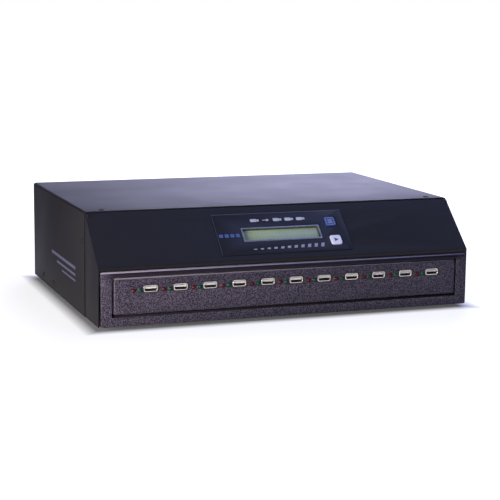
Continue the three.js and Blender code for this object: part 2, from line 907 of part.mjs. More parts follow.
function displayScreen() {
  const inset = fitGap + displayRim + fitGap;
  return block(
    around(displayX, displayWidth - 2 * inset),
    around(displayS, displayHeight - 2 * inset),
    [displayBack, -displayRecess],
  );
}

// Display board: the board, the module's metal can and the header for its ribbon
function displayModule() {
  const board = block(
    around(displayX, displayBoard.x),
    around(displayS, displayBoard.y),
    [displayBoardTop - boardThickness, displayBoardTop],
  );
  const can = block(
    around(displayX, moduleSize.x),
    around(displayS, moduleSize.y),
    [displayBoardTop - boardThickness / 2, displayBoardTop + moduleSize.z],
  );
  return join(board, can);
}

// Keycap: a chamfered square with a flange that stops it under the hood, and a stem
function keycap() {
  const ring = (size, z, radius = keyCorner) => ringAtZ(roundedRectangle(size, size, radius, arcSteps), z);
  const top = overlayTop + keyProud;
  const wide = keySize + 2 * keyFlange;
  const cap = loft([
    ring(wide, keyFlangeTop - keyFlangeThickness),
    ring(wide, keyFlangeTop),
    ring(keySize, keyFlangeTop),
    ring(keySize, top - keyChamfer),
    ring(keySize - 2 * keyChamfer, top),
  ]);
  return join(cap, post(keyStemRadius, keyStemEnd, keyFlangeTop - keyFlangeThickness / 2, 0, 0, pinSides));
}

function keyBoard() {
  const board = block(around(keyX, keyBoardWidth), keyBoardEnds, [
    keyBoardTop - boardThickness,
    keyBoardTop,
  ]);
  const parts = [board];
  for (const s of [setKeyS, runKeyS]) {
    const bodyTop = keyBoardTop + tactBody.z;
    parts.push(
      block(around(keyX, tactBody.x), around(s, tactBody.y), [keyBoardTop - boardThickness / 2, bodyTop]),
      post(tactPlungerRadius, bodyTop - tactPlunger, bodyTop + tactPlunger, keyX, s, pinSides),
    );
  }
  return join(...parts);
}

// Foot: a turned rubber pad with a recess for its screw
function foot() {
  return new THREE.LatheGeometry(
    points(
      [0, footRecessDepth - footHeight],
      [footRecessRadius, footRecessDepth - footHeight],
      [footRecessRadius, -footHeight],
      [footRadius, -footHeight],
      [footTopRadius, -fitGap],
      [0, -fitGap],
    ),
    footSides,
  ).rotateX(Math.PI / 2);
}

// Fan frame: two square flanges joined by the duct, with the motor on four struts at the outlet
function fanFrame() {
  const outlet = fanDepth;
  const square = (radius) => roundedRectangle(fanSize, fanSize, radius, arcSteps);
  const duct = circle(fanDuct, fanSides);
  const screws = fourCorners.map(([x, z]) =>
    circle(fanScrewRadius, studSides, (x * fanScrewPitch) / 2, (z * fanScrewPitch) / 2),
  );
  const flange = (from) => alongY(square(fanCorner), from, from + fanFlange, [duct, ...screws]);
  const tube = alongY(circle(fanDuct + fanWall, fanSides), 0, outlet, [duct]);
  const motor = alongY(circle(motorRadius, motorSides), outlet - motorThickness, outlet);
  const statorFront = outlet - motorThickness - statorLength;
  const stator = alongY(circle(statorRadius, motorSides), statorFront, outlet - motorThickness / 2);
  const bore = alongY(
    circle(shaftRadius + fitGap, pinSides),
    statorFront - overrun,
    outlet - motorThickness / 2,
  );
  const strutReach = fanDuct + fanWall / 2;
  const struts = [0, 1].map((turn) =>
    block(around(0, 2 * strutReach), [outlet - strutThickness, outlet], around(0, strutWidth)).rotateY(
      (Math.PI / 2) * turn + Math.PI / 4,
    ),
  );
  return cut(join(flange(0), flange(outlet - fanFlange), tube, motor, ...struts, stator), bore);
}

// Fan rotor: a cup on a shaft, with twisted blades lofted from the hub to the tip
function fanRotor() {
  const front = fanFlange / 2;
  const back = front + hubDepth;
  const wall = new THREE.LatheGeometry(
    points(
      [0, front],
      [hubRadius - hubWall, front],
      [hubRadius, front + hubWall],
      [hubRadius, back],
      [hubRadius - hubWall, back],
      [hubRadius - hubWall, front + hubWall],
      [0, front + hubWall],
    ),
    hubSides,
  );
  const shaftEnd = fanDepth - motorThickness - fitGap;
  const shaft = alongY(circle(shaftRadius, pinSides), front + hubWall / 2, shaftEnd);
  const middle = (front + back) / 2;
  const blade = loft(
    Array.from({ length: bladeSections }, (_, step) => bladeSection(step / (bladeSections - 1), middle)),
  );
  const blades = Array.from({ length: bladeCount }, (_, i) =>
    blade.clone().rotateY((2 * Math.PI * i) / bladeCount),
  );
  return join(wall, shaft, ...blades);
}

// One section across a blade: a thin lens shape laid along the chord, at its own radius and pitch
function bladeSection(share, middle) {
  const radius = THREE.MathUtils.lerp(hubRadius - hubWall / 2, bladeTip, share);
  const chord = THREE.MathUtils.lerp(bladeRootChord, bladeTipChord, share);
  const pitch = THREE.MathUtils.lerp(bladeRootPitch, bladeTipPitch, share);
  return Array.from({ length: bladeSides }, (_, i) => {
    const angle = (2 * Math.PI * i) / bladeSides;
    const along = (chord / 2) * Math.cos(angle);
    const through = (bladeThickness / 2) * Math.sin(angle);
    const across = along * Math.cos(pitch) - through * Math.sin(pitch);
    const turn = across / radius;
    const y = middle + along * Math.sin(pitch) + through * Math.cos(pitch);
    return new THREE.Vector3(radius * Math.cos(turn), y, radius * Math.sin(turn));
  });
}

// Finger guard: rings of wire welded on two crossed wires that end in screw eyes
function fingerGuard() {
  const eyeReach = (fanScrewPitch / 2) * Math.SQRT2;
  const ringY = guardWire + 2 * guardWire - guardOverlap;
  const ring = (radius, y) =>
    new THREE.TorusGeometry(radius, guardWire, wireSides, radius > guardEye ? motorSides : studSides)
      .rotateX(Math.PI / 2)
      .translate(0, y, 0);
  const parts = Array.from({ length: guardRings }, (_, i) =>
    ring(guardInner + ((guardOuter - guardInner) * i) / (guardRings - 1), ringY),
  );
  for (const turn of [Math.PI / 4, (3 * Math.PI) / 4]) {
    const reach = eyeReach - guardEye + guardOverlap;
    parts.push(
      new THREE.CylinderGeometry(guardWire, guardWire, 2 * reach, wireSides)
        .rotateX(Math.PI / 2)
        .translate(0, guardWire, 0)
        .rotateY(turn),
    );
  }
  for (const [x, z] of fourCorners) {
    parts.push(ring(guardEye, guardWire).translate((x * fanScrewPitch) / 2, 0, (z * fanScrewPitch) / 2));
  }
  return join(...parts);
}

// Mains inlet: a screwed flange, a chamfered cavity with three flat pins, and the tabs behind
function mainsInlet() {
  const flange = alongY(
    roundedRectangle(inletFlange.x, inletFlange.y, inletFlangeCorner, arcSteps),
    0,
    inletFlange.z,
    [-1, 1].map((side) => circle(inletScrewRadius, studSides, (side * inletScrewPitch) / 2, 0)),
  );
  const back = inletFlange.z - inletCavityDepth - inletFloor;
  const body = alongY(chamferedTop(inletBody.x, inletBody.y, inletChamfer), back, inletFlange.z / 2);
  const floorAt = inletFlange.z - inletCavityDepth;
  const cavity = alongY(
    chamferedTop(inletCavity.x, inletCavity.y, inletChamfer),
    floorAt,
    inletFlange.z + overrun,
  );
  const pinEnds = [floorAt - inletFloor / 2, inletFlange.z - inletPinRecess];
  const pins = inletPins().map(([x, z]) =>
    block(around(x, inletPin.x), pinEnds, around(z, inletPin.y)),
  );
  const tabs = inletPins().map(([x, z]) =>
    block(around(x, inletTab.x), [back - inletTab.z, back + inletFloor / 2], around(z, inletTab.y)),
  );
  return join(cut(join(flange, body), cavity), ...pins, ...tabs);
}

function inletPins() {
  return [
    [-inletPinPitch / 2, -inletPinDrop],
    [inletPinPitch / 2, -inletPinDrop],
    [0, inletPinDrop],
  ];
}

function chamferedTop(width, height, chamfer) {
  const x = width / 2;
  const z = height / 2;
  return points([-x, -z], [x, -z], [x, z - chamfer], [x - chamfer, z], [chamfer - x, z], [-x, z - chamfer]);
}

// Switch housing: bezel outside, body inside, with a pocket and two pivot holes for the rocker
function switchHousing() {
  const bezel = alongY(
    roundedRectangle(switchBezel.x, switchBezel.y, switchBezelCorner, arcSteps),
    0,
    switchBezel.z,
  );
  const body = alongY(rectangle(switchBody.x, switchBody.y), -switchBody.z, switchBezel.z / 2);
  const pocketBack = switchBezel.z - rockerCavityDepth;
  const pocket = block(
    around(0, rockerWidth + 2 * fitGap),
    [pocketBack, switchBezel.z + overrun],
    around(0, rockerLength + 2 * fitGap),
  );
  const pivot = alongX(
    circle(rockerPinRadius + fitGap, pinSides, switchBezel.z - rockerPivotDepth, 0),
    ...around(0, rockerWidth + 2 * (rockerPinLength + fitGap)),
  );
  const tabs = [-1, 0, 1].map((step) =>
    block(
      around(0, switchTab.x),
      [-switchBody.z - switchTab.z, -switchBody.z + switchTab.z / 2],
      around((step * rockerLength) / 3, switchTab.y),
    ),
  );
  return cut(join(bezel, body, ...tabs), pocket, pivot);
}

// Rocker: a shallow saddle with a rounded skirt, drawn level on its pivot line
function switchRocker() {
  const [foot, side, tip, dip] = rockerWaistShares.map((share) => (share * rockerLength) / 2);
  const rise = (rockerLength / 2) * Math.tan(rockerTilt);
  const half = points(
    [-rockerSkirt, foot],
    [rockerHeight - rockerSkirt, side],
    [rockerHeight + rise, tip],
    [rockerHeight + rockerDipShare * rise, dip],
  );
  const mirrored = half.map((p) => new THREE.Vector2(p.x, -p.y)).reverse();
  const saddle = [...mirrored, ...half, new THREE.Vector2(rockerHeight, 0)];
  const body = alongX(saddle, ...around(0, rockerWidth));
  const pin = alongX(circle(rockerPinRadius, pinSides), ...around(0, rockerWidth + 2 * rockerPinLength));
  return join(body, pin);
}

// Controller board: processor under its heat sink, memory, capacitors and headers, all soldered
function controller() {
  const x = around(controllerX, controllerBoard.x);
  const y = around(controllerY, controllerBoard.y);
  const bottom = controllerTop - boardThickness;
  const seat = controllerTop - boardThickness / 2;
  const parts = [block(x, y, [bottom, controllerTop])];
  for (const [sideX, sideY] of fourCorners) {
    parts.push(
      post(
        postRadius,
        sheet + fitGap,
        seat,
        controllerX + sideX * (controllerBoard.x / 2 - postInset),
        controllerY + sideY * (controllerBoard.y / 2 - postInset),
      ),
    );
  }
  const chipTop = controllerTop + processorThickness;
  parts.push(
    block(around(controllerX, processorSize), around(controllerY, processorSize), [seat, chipTop]),
  );
  const sinkTop = chipTop + heatSinkBase;
  parts.push(
    block(
      around(controllerX, heatSinkSize),
      around(controllerY, heatSinkSize),
      [chipTop - processorThickness / 2, sinkTop],
    ),
  );
  for (let i = 0; i < heatSinkFins; i++) {
    const reach = (heatSinkSize - finThickness) / 2;
    const finX = controllerX - reach + (2 * reach * i) / (heatSinkFins - 1);
    parts.push(
      block(around(finX, finThickness), around(controllerY, heatSinkSize), [
        sinkTop - heatSinkBase / 2,
        chipTop + heatSinkHeight,
      ]),
    );
  }
  for (let i = 0; i < memoryChips; i++) {
    const chipY = controllerY + (i - (memoryChips - 1) / 2) * memoryPitch;
    parts.push(
      block(
        around(controllerX - heatSinkSize, memoryChip.x),
        around(chipY, memoryChip.y),
        [seat, controllerTop + memoryChip.z],
      ),
    );
  }
  for (let i = 0; i < capacitors; i++) {
    const canX = x[1] - postInset - 2 * capacitorRadius - i * capacitorPitch;
    const canY = y[1] - 2 * postInset;
    parts.push(post(capacitorRadius, seat, controllerTop + capacitorHeight, canX, canY, pinSides));
  }
  parts.push(
    block(
      around(displayX, headerSize.x),
      [y[0] + postInset, y[0] + postInset + headerSize.y],
      [seat, controllerTop + headerSize.z],
    ),
    block(
      [x[1] - postInset - powerHeader.x, x[1] - postInset],
      around(controllerY - powerHeader.x, powerHeader.y),
      [seat, controllerTop + powerHeader.z],
    ),
  );
  return join(...parts);
}

// Ribbon: a flat cable between two plugs, along one smooth curve in the (y, z) plane
function displayRibbon() {
  const headerY = controllerY - controllerBoard.y / 2 + postInset + headerSize.y / 2;
  const plugTop = controllerTop + headerSize.z + fitGap + ribbonPlug.z;
  const onBoard = new THREE.Vector3(0, displayS, displayBoardTop - boardThickness - fitGap);
  const upper = onBoard.clone().setZ(onBoard.z - ribbonPlug.z).applyMatrix4(slopeMatrix);
  const out = new THREE.Vector3(0, 0, -1).transformDirection(slopeMatrix);
  const lower = new THREE.Vector3(0, headerY, plugTop);
  const swing = ribbonSwingShare * upper.distanceTo(lower);
  const curve = new THREE.CubicBezierCurve3(
    upper.clone().addScaledVector(out, -ribbonThickness),
    upper.clone().addScaledVector(out, swing),
    lower.clone().addScaledVector(zAxis, swing),
    lower.clone().addScaledVector(zAxis, -ribbonThickness),
  );
  const near = [];
  const far = [];
  for (let i = 0; i <= ribbonSteps; i++) {
    const at = curve.getPoint(i / ribbonSteps);
    const along = curve.getTangent(i / ribbonSteps);
    const across = new THREE.Vector2(-along.z, along.y).multiplyScalar(ribbonThickness / 2);
    near.push(new THREE.Vector2(at.y, at.z).add(across));
    far.unshift(new THREE.Vector2(at.y, at.z).sub(across));
  }
  const strip = alongX(near.concat(far).reverse(), ...around(displayX, ribbonWidth));
  const lowerPlug = block(
    around(displayX, ribbonPlug.x),
    around(headerY, ribbonPlug.y),
    [plugTop - ribbonPlug.z, plugTop],
  );
  const upperPlug = block(around(displayX, ribbonPlug.x), around(displayS, ribbonPlug.y), [
    onBoard.z - ribbonPlug.z,
    onBoard.z,
  ]).applyMatrix4(slopeMatrix);
  return join(strip, lowerPlug, upperPlug);
}

// Power supply: a slotted steel box with a barrier strip on its front shelf
function powerSupply() {
  const x = around(supplyX, supplySize.x);
  const y = around(supplyY, supplySize.y);
  const base = sheet + fitGap;
  const top = base + supplySize.z;
  const box = block(x, [y[0] + supplyShelf, y[1]], [base, top]);
  const shelf = block(x, [y[0], y[1] - supplyShelf], [base, base + sheet]);
  const strip = block(around(supplyX, terminalWidth), [y[0] + sheet, y[0] + 2 * supplyShelf], [
    base + sheet / 2,
    base + terminalHeight - terminalStep,
  ]);
  const barriers = Array.from({ length: terminalCount + 1 }, (_, i) => {
    const reach = (terminalWidth - terminalBarrier) / 2;
    const at = supplyX - reach + (2 * reach * i) / terminalCount;
    return block(around(at, terminalBarrier), [y[0] + sheet, y[0] + 2 * supplyShelf], [
      base + terminalHeight - 2 * terminalStep,
      base + terminalHeight,
    ]);
  });
  const slots = Array.from({ length: supplySlots }, (_, i) => {
    const at = supplyX + (i - (supplySlots - 1) / 2) * (supplySize.x / (supplySlots + 1));
    const slot = rectangle(supplySlot.x, supplySlot.y, at, supplyY + supplyShelf / 2);
    return alongZ(slot, top - supplySlotDepth, top + overrun);
  });
  return cut(join(box, shelf, strip, ...barriers), ...slots);
}

// Harness: the low-voltage leads as one sheathed bundle, from the barrier strip to the controller
function powerHarness() {
  const base = sheet + fitGap;
  const start = new THREE.Vector3(
    supplyX - terminalWidth / 4,
    supplyY - supplySize.y / 2 + sheet - fitGap,
    base + sheet + fitGap + harnessRadius,
  );
  const plugY = controllerY - powerHeader.x;
  const plugX = controllerX + controllerBoard.x / 2 - postInset - powerHeader.x / 2;
  const plugBase = controllerTop + powerHeader.z + fitGap;
  const end = new THREE.Vector3(plugX, plugY, plugBase + powerHeader.z / 2);
  const curve = new THREE.CubicBezierCurve3(
    start,
    start.clone().setY(start.y - supplyShelf * 2),
    end.clone().setZ(end.z + powerHeader.z * 2),
    end,
  );
  const section = new THREE.Shape(circle(harnessRadius, harnessSides));
  const bundle = new THREE.ExtrudeGeometry(section, {
    steps: harnessSteps,
    extrudePath: curve,
    bevelEnabled: false,
  });
  const plug = block(around(plugX, powerHeader.x), around(plugY, powerHeader.y), [
    plugBase,
    plugBase + powerHeader.z,
  ]);
  return join(bundle, plug);
}

// Assembly
const frame = new THREE.Group();
const slope = new THREE.Group();
slope.rotation.x = slopeAngle;
slope.position.z = kneeHeight;
frame.add(slope);

function add(name, body, material, place = [0, 0, 0], parent = frame) {
  const geometry = body instanceof THREE.BufferGeometry ? body : geometryOf(body);
  const mesh = new THREE.Mesh(geometry, material);
  mesh.name = name;
  mesh.position.set(...place);
  parent.add(mesh);
  return mesh;
}

function numbered(name, i) {
  return name + "_" + String(i + 1).padStart(2, "0");
}

add("base_pan", floorPan(), blackCoat);
add("top_cover", topCover(), blackCoat);
add("front_hood", frontHood(), blackCoat);
add("front_plate", frontPlate(), speckledCoat);
add("port_panel", portPanel(), speckledCoat);
add("port_board", portBoard(), boardGreen);

const socket = geometryOf(usbSocket());
const lampBody = geometryOf(lamp());
for (let i = 0; i < portCount; i++) {
  add(numbered("usb_port", i), socket, bareSteel, [portX(i), portRecess - plateProud, portHeight]);
  const lampY = -plateProud - lampProud;
  add(numbered("red_led", i), lampBody, redLens, [portX(i) - redLampReach, lampY, lampHeight]);
  add(numbered("green_led", i), lampBody, greenLens, [portX(i) - greenLampReach, lampY, lampHeight]);
}

add("panel_overlay", overlay(), overlayFilm, [0, 0, 0], slope);
add("lcd_frame", displayFrame(), silverFrame, [0, 0, 0], slope);
add("lcd_screen", displayScreen(), displayGlass, [0, 0, 0], slope);
add("lcd_board", displayModule(), boardGreen, [0, 0, 0], slope);
add("keypad_board", keyBoard(), boardGreen, [0, 0, 0], slope);
const key = geometryOf(keycap());
add("set_button", key, blueKey, [keyX, setKeyS, 0], slope);
add("run_button", key, whiteKey, [keyX, runKeyS, 0], slope);

add("controller_board", controller(), boardGreen);
add("display_cable", displayRibbon(), greyRibbon);
add("power_supply", powerSupply(), zincSteel);
add("power_harness", powerHarness(), wireSheath);

const fanPlace = [fanX, wallInner - fitGap - fanDepth, fanHeight];
add("fan_frame", fanFrame(), blackPlastic, fanPlace);
add("fan_rotor", fanRotor(), blackPlastic, fanPlace);
add("fan_grille", fingerGuard(), bareSteel, [fanX, rearFace, fanHeight]);
add("power_inlet", mainsInlet(), blackPlastic, [inletX, rearFace, inletHeight]);
add("switch_housing", switchHousing(), blackPlastic, [switchX, rearFace, inletHeight]);
const rocker = add("switch_rocker", switchRocker(), blackPlastic, [
  switchX,
  rearFace + switchBezel.z - rockerPivotDepth,
  inletHeight,
]);
rocker.rotation.x = rockerTilt;

const footNames = ["foot_front_left", "foot_front_right", "foot_rear_left", "foot_rear_right"];
fourCorners.forEach(([sideX, sideY], i) => {
  const x = sideX * (halfWidth - footInset.x);
  const y = caseDepth / 2 + sideY * (caseDepth / 2 - footInset.y);
  add(footNames[i], foot(), blackRubber, [x, y, 0]);
});

// The origin is the middle of the whole part's base, under the feet
const bounds = new THREE.Box3().setFromObject(frame, true);
frame.position.set(0, -(bounds.min.y + bounds.max.y) / 2, -bounds.min.z);

const duplicator = new THREE.Group();
duplicator.name = "usb_flash_drive_duplicator";
duplicator.add(frame);

export default duplicator;
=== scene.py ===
import json
import math

import bmesh
import bpy
from bpy.props import FloatProperty, FloatVectorProperty, IntProperty, PointerProperty
from mathutils import Matrix, Vector

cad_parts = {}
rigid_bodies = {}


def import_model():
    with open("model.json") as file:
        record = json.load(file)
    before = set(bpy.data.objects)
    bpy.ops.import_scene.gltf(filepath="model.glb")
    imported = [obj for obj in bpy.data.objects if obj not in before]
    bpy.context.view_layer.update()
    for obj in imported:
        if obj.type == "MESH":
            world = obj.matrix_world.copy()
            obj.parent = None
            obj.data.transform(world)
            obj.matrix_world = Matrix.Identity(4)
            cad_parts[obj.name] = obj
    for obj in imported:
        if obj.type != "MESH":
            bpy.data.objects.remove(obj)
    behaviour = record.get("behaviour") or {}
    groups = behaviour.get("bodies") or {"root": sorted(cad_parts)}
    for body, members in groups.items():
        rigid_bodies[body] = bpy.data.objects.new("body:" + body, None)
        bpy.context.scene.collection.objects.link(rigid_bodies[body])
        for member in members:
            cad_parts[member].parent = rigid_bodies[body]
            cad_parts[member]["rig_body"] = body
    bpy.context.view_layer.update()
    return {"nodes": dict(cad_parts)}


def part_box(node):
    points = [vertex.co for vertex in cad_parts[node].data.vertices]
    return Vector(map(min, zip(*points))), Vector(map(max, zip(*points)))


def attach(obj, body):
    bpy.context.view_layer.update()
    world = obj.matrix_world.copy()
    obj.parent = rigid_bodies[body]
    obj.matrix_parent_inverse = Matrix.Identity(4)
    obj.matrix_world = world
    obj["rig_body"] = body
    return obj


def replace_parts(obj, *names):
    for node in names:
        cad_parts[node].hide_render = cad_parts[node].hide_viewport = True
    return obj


bl_info = {
    "name": "Flash Drive Duplicator",
    "version": (1, 0, 0),
    "blender": (4, 5, 0),
    "location": "3D View > Sidebar > Duplicator",
    "description": "Finishes and small parts of a desktop flash drive duplicator",
    "category": "Object",
}

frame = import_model()
MM = 0.001


def middle_of(node):
    """The middle of a CAD node's box."""
    low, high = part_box(node)
    return (low + high) / 2


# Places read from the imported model
HOOD_LOW, HOOD_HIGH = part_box("front_hood")
COVER_LOW, COVER_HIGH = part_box("top_cover")
PANEL_LOW, PANEL_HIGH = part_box("port_panel")
PLATE_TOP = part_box("front_plate")[1].z
PAN_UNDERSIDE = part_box("base_pan")[0].z
PORT_COUNT = sum(name.startswith("usb_port_") for name in frame["nodes"])
FIRST_PORT = middle_of("usb_port_01")
LAST_PORT = middle_of(f"usb_port_{PORT_COUNT:02d}")
PORT_PITCH = (LAST_PORT.x - FIRST_PORT.x) / (PORT_COUNT - 1)
# A corner outside the part in every direction, for boxes with open sides
BEYOND = Vector((1, 1, 1))

# The slope's own frame: x across, y up the slope, z out of it
BAND_HEIGHT = 4.5 * MM
KNEE_Z = PLATE_TOP + BAND_HEIGHT
SLOPE_ANGLE = math.atan2(COVER_HIGH.z - KNEE_Z, COVER_LOW.y - HOOD_LOW.y)
SLOPE = Matrix.Translation((0, HOOD_LOW.y, KNEE_Z)) @ Matrix.Rotation(SLOPE_ANGLE, 4, "X")
# Where the middles of the keys and of the display lie, across and up the slope
KEY_S = {"set_button": 43.1 * MM, "run_button": 19.5 * MM}
KEY_X = middle_of("set_button").x
DISPLAY_X, DISPLAY_S = -1.05 * MM, 31.4 * MM
# How high the film's face stands out of the slope
FILM_TOP = 0.6 * MM
# How far the cover's sides stand proud of the hood's cheeks
COVER_STEP = 0.8 * MM
# Pitch of the screw holes of an 80 mm fan
FAN_SCREW_PITCH = 71.5 * MM


# Colour and node helpers
def linear(hex_colour):
    """An sRGB hex colour as linear RGBA."""
    channels = [int(hex_colour[i : i + 2], 16) / 255 for i in (1, 3, 5)]
    curve = [c / 12.92 if c <= 0.04045 else ((c + 0.055) / 1.055) ** 2.4 for c in channels]
    return (*curve, 1.0)


def scaled(colour, factor):
    """A linear colour times a factor, as RGBA."""
    return (*[factor * c for c in colour[:3]], 1.0)


def set_inputs(tree, node, values):
    """Sets inputs by name or index, each to a value or to another node's output."""
    for key, value in values.items():
        if isinstance(value, bpy.types.NodeSocket):
            tree.links.new(value, node.inputs[key])
        else:
            node.inputs[key].default_value = value


def add_node(tree, kind, inputs=None, **settings):
    made = tree.nodes.new(kind)
    for name, value in settings.items():
        setattr(made, name, value)
    set_inputs(tree, made, inputs or {})
    return made


def start_material(name):
    """A new material with its tree, its shader and the Object coordinates."""
    material = bpy.data.materials.new(name)
    material.use_nodes = True
    tree = material.node_tree
    tree.nodes.clear()
    shader = add_node(tree, "ShaderNodeBsdfPrincipled")
    add_node(tree, "ShaderNodeOutputMaterial", {"Surface": shader.outputs[0]})
    place = add_node(tree, "ShaderNodeTexCoord")
    return material, tree, shader, place.outputs["Object"]


def noise(tree, vector, size, detail=2.0, roughness=0.5):
    """Noise whose lumps are about size metres across."""
    values = {"Vector": vector, "Scale": 1 / size, "Detail": detail, "Roughness": roughness}
    return add_node(tree, "ShaderNodeTexNoise", values).outputs[0]


def maths(tree, operation, first, second=0.5):
    """The result of a Math node; an operation on one value leaves the second out."""
    values = {0: first, 1: second}
    return add_node(tree, "ShaderNodeMath", values, operation=operation).outputs[0]


def multiply(tree, first, second):
    return maths(tree, "MULTIPLY", first, second)


def spread(tree, value, low, high, to_low=0.0, to_high=1.0):
    """Stretches the part of a value between low and high to another range."""
    values = {0: value, 1: low, 2: high, 3: to_low, 4: to_high}
    return add_node(tree, "ShaderNodeMapRange", values).outputs[0]


def within(tree, value, low, high, soft):
    """One between two values, falling to zero over a soft margin outside them."""
    rise = spread(tree, value, low - soft, low)
    fall = spread(tree, value, high, high + soft, 1.0, 0.0)
    return multiply(tree, rise, fall)


def split(tree, vector):
    """The x, y and z outputs of a vector."""
    return add_node(tree, "ShaderNodeSeparateXYZ", {0: vector}).outputs


def blend_values(tree, share, first, second):
    values = {0: share, 2: first, 3: second}
    return add_node(tree, "ShaderNodeMix", values, data_type="FLOAT").outputs[0]


def blend_colours(tree, share, first, second):
    values = {0: share, 6: first, 7: second}
    return add_node(tree, "ShaderNodeMix", values, data_type="RGBA").outputs[2]


def relief(tree, height, depth, strength):
    values = {"Height": height, "Distance": depth, "Strength": strength}
    return add_node(tree, "ShaderNodeBump", values).outputs[0]


# Finishes
def textured_powder_coat():
    """Polyester powder coat, sprayed and baked: black, with a fine orange-peel grain."""
    material, tree, shader, place = start_material("textured_powder_coat")
    # Grains near 0.9 mm scatter the light, so the sheet looks satin and never mirrors
    grain = noise(tree, place, 0.9 * MM, 3.0, 0.6)
    # Uneven film thickness shows as faint clouds a few centimetres across
    cloud = noise(tree, place, 45 * MM, 2.0)
    dark = scaled(bpy.context.scene.duplicator_finish.coat_colour, 1.0)
    light = scaled(dark, 1.35)
    tone = blend_colours(tree, spread(tree, cloud, 0.35, 0.65, 0.2, 0.8), dark, light)
    colour = blend_colours(tree, spread(tree, grain, 0.42, 0.66), tone, light)
    set_inputs(tree, shader, {
        "Base Color": colour,
        "Roughness": spread(tree, cloud, 0.3, 0.7, 0.66, 0.7),
        "IOR": 1.5,
        "Specular IOR Level": 0.3,
        "Normal": relief(tree, grain, 0.05 * MM, 0.5),
    })
    return material


def speckled_powder_coat():
    """Coarser powder coat with paler specks, as on the front plate and the socket panel."""
    material, tree, shader, place = start_material("speckled_powder_coat")
    # Real specks are 0.3 to 0.6 mm; drawn at 1.2 mm so that they show at the photograph's scale
    specks = noise(tree, place, 1.2 * MM, 2.0, 0.7)
    tint = noise(tree, place, 3.2 * MM, 1.0)
    finish = bpy.context.scene.duplicator_finish
    ground = scaled(finish.speckle_ground, 1.0)
    pale = scaled(finish.speckle_colour, 1.0)
    warm = blend_colours(tree, spread(tree, tint, 0.35, 0.65), pale, linear("#6a6070"))
    mixed = blend_colours(tree, spread(tree, specks, 0.42, 0.62), ground, warm)
    # Painted shade on the plate's strip above the opening, and painted highlights on the plate's
    # and the panel's upper edges, where their rounded edges catch the light
    at = split(tree, place)
    plate_rim, panel_rim, soft, side_soft = 0.9 * MM, 0.7 * MM, 0.2 * MM, 12 * MM
    above = within(tree, at[2], PANEL_HIGH.z + soft, PLATE_TOP - plate_rim, soft)
    inside = within(tree, at[0], PANEL_LOW.x, PANEL_HIGH.x, side_soft)
    # thin: the strip above the opening darkened as painted shade
    thin = blend_colours(tree, multiply(tree, above, inside), mixed, linear("#1f1b23"))
    plate_highlight_band = within(tree, at[2], PLATE_TOP - plate_rim, PLATE_TOP + plate_rim, soft)
    panel_edge = within(tree, at[2], PANEL_HIGH.z - panel_rim, PANEL_HIGH.z, soft / 2)
    panel_highlight_band = multiply(tree, panel_edge, within(tree, at[0], PANEL_LOW.x, PANEL_HIGH.x, soft))
    # thick: the plate's and the panel's upper edges made pale as painted highlights
    thick = maths(tree, "MAXIMUM", plate_highlight_band, panel_highlight_band)
    set_inputs(tree, shader, {
        "Base Color": blend_colours(tree, thick, thin, linear("#a39cab")),
        "Roughness": spread(tree, specks, 0.3, 0.7, 0.5, 0.36),
        "IOR": 1.5,
        "Specular IOR Level": 0.2,
        "Normal": relief(tree, specks, 0.15 * MM, 0.6),
    })
    return material


def printed_film():
    """Polyester film printed on its back: deep blue-black, satin, with a very fine grain."""
    material, tree, shader, place = start_material("printed_film")
    # The embossed grain is 0.1 mm; drawn at 0.4 mm so that it breaks up the gloss
    grain = noise(tree, place, 0.4 * MM, 2.0)
    set_inputs(tree, shader, {
        "Base Color": blend_colours(
            tree, spread(tree, grain, 0.35, 0.7), linear("#14151b"), linear("#1b1d25")
        ),
        "Roughness": spread(tree, grain, 0.3, 0.7, 0.46, 0.54),
        "IOR": 1.45,
        "Specular IOR Level": 0.25,
        "Normal": relief(tree, grain, 0.02 * MM, 0.4),
    })
    return material


def screen_ink(name, hex_colour):
    """Screen-printed ink: matt, a little uneven where the mesh laid it down."""
    material, tree, shader, place = start_material(name)
    weave = noise(tree, place, 0.5 * MM, 1.0)
    base = linear(hex_colour)
    thin = scaled(base, 0.86)
    set_inputs(tree, shader, {
        "Base Color": blend_colours(tree, spread(tree, weave, 0.35, 0.65), thin, base),
        "Roughness": 0.6,
        "IOR": 1.5,
    })
    return material


def plated_metal(name, hex_bright, hex_dull, roughness, scratch):
    """Plated or drawn metal: bright, with fine drawing marks and a slightly uneven gloss."""
    material, tree, shader, place = start_material(name)
    # Drawing marks 0.15 mm apart, stretched ten times along the depth of the piece
    stretched = add_node(tree, "ShaderNodeMapping", {"Vector": place, "Scale": (1, 0.1, 1)})
    marks = noise(tree, stretched.outputs[0], 0.15 * MM, 2.0)
    film = noise(tree, place, 4 * MM, 2.0)
    set_inputs(tree, shader, {
        "Base Color": blend_colours(
            tree, spread(tree, film, 0.3, 0.7), linear(hex_bright), linear(hex_dull)
        ),
        "Metallic": 1.0,
        "Roughness": spread(tree, marks, 0.3, 0.7, roughness, roughness + 0.12),
        "Normal": relief(tree, marks, scratch * MM, 0.15),
    })
    return material


def moulded_plastic(name, hex_colour, roughness):
    """Injection-moulded plastic: one colour, with the mould's spark-eroded grain."""
    material, tree, shader, place = start_material(name)
    pits = noise(tree, place, 0.35 * MM, 2.0)
    sheen = noise(tree, place, 12 * MM, 1.0)
    base = linear(hex_colour)
    worn = (*[min(1.0, 1.12 * c + 0.002) for c in base[:3]], 1.0)
    set_inputs(tree, shader, {
        "Base Color": blend_colours(tree, spread(tree, sheen, 0.35, 0.65), base, worn),
        "Roughness": spread(tree, pits, 0.3, 0.7, roughness - 0.05, roughness + 0.05),
        "IOR": 1.5,
        "Normal": relief(tree, pits, 0.02 * MM, 0.5),
    })
    return material


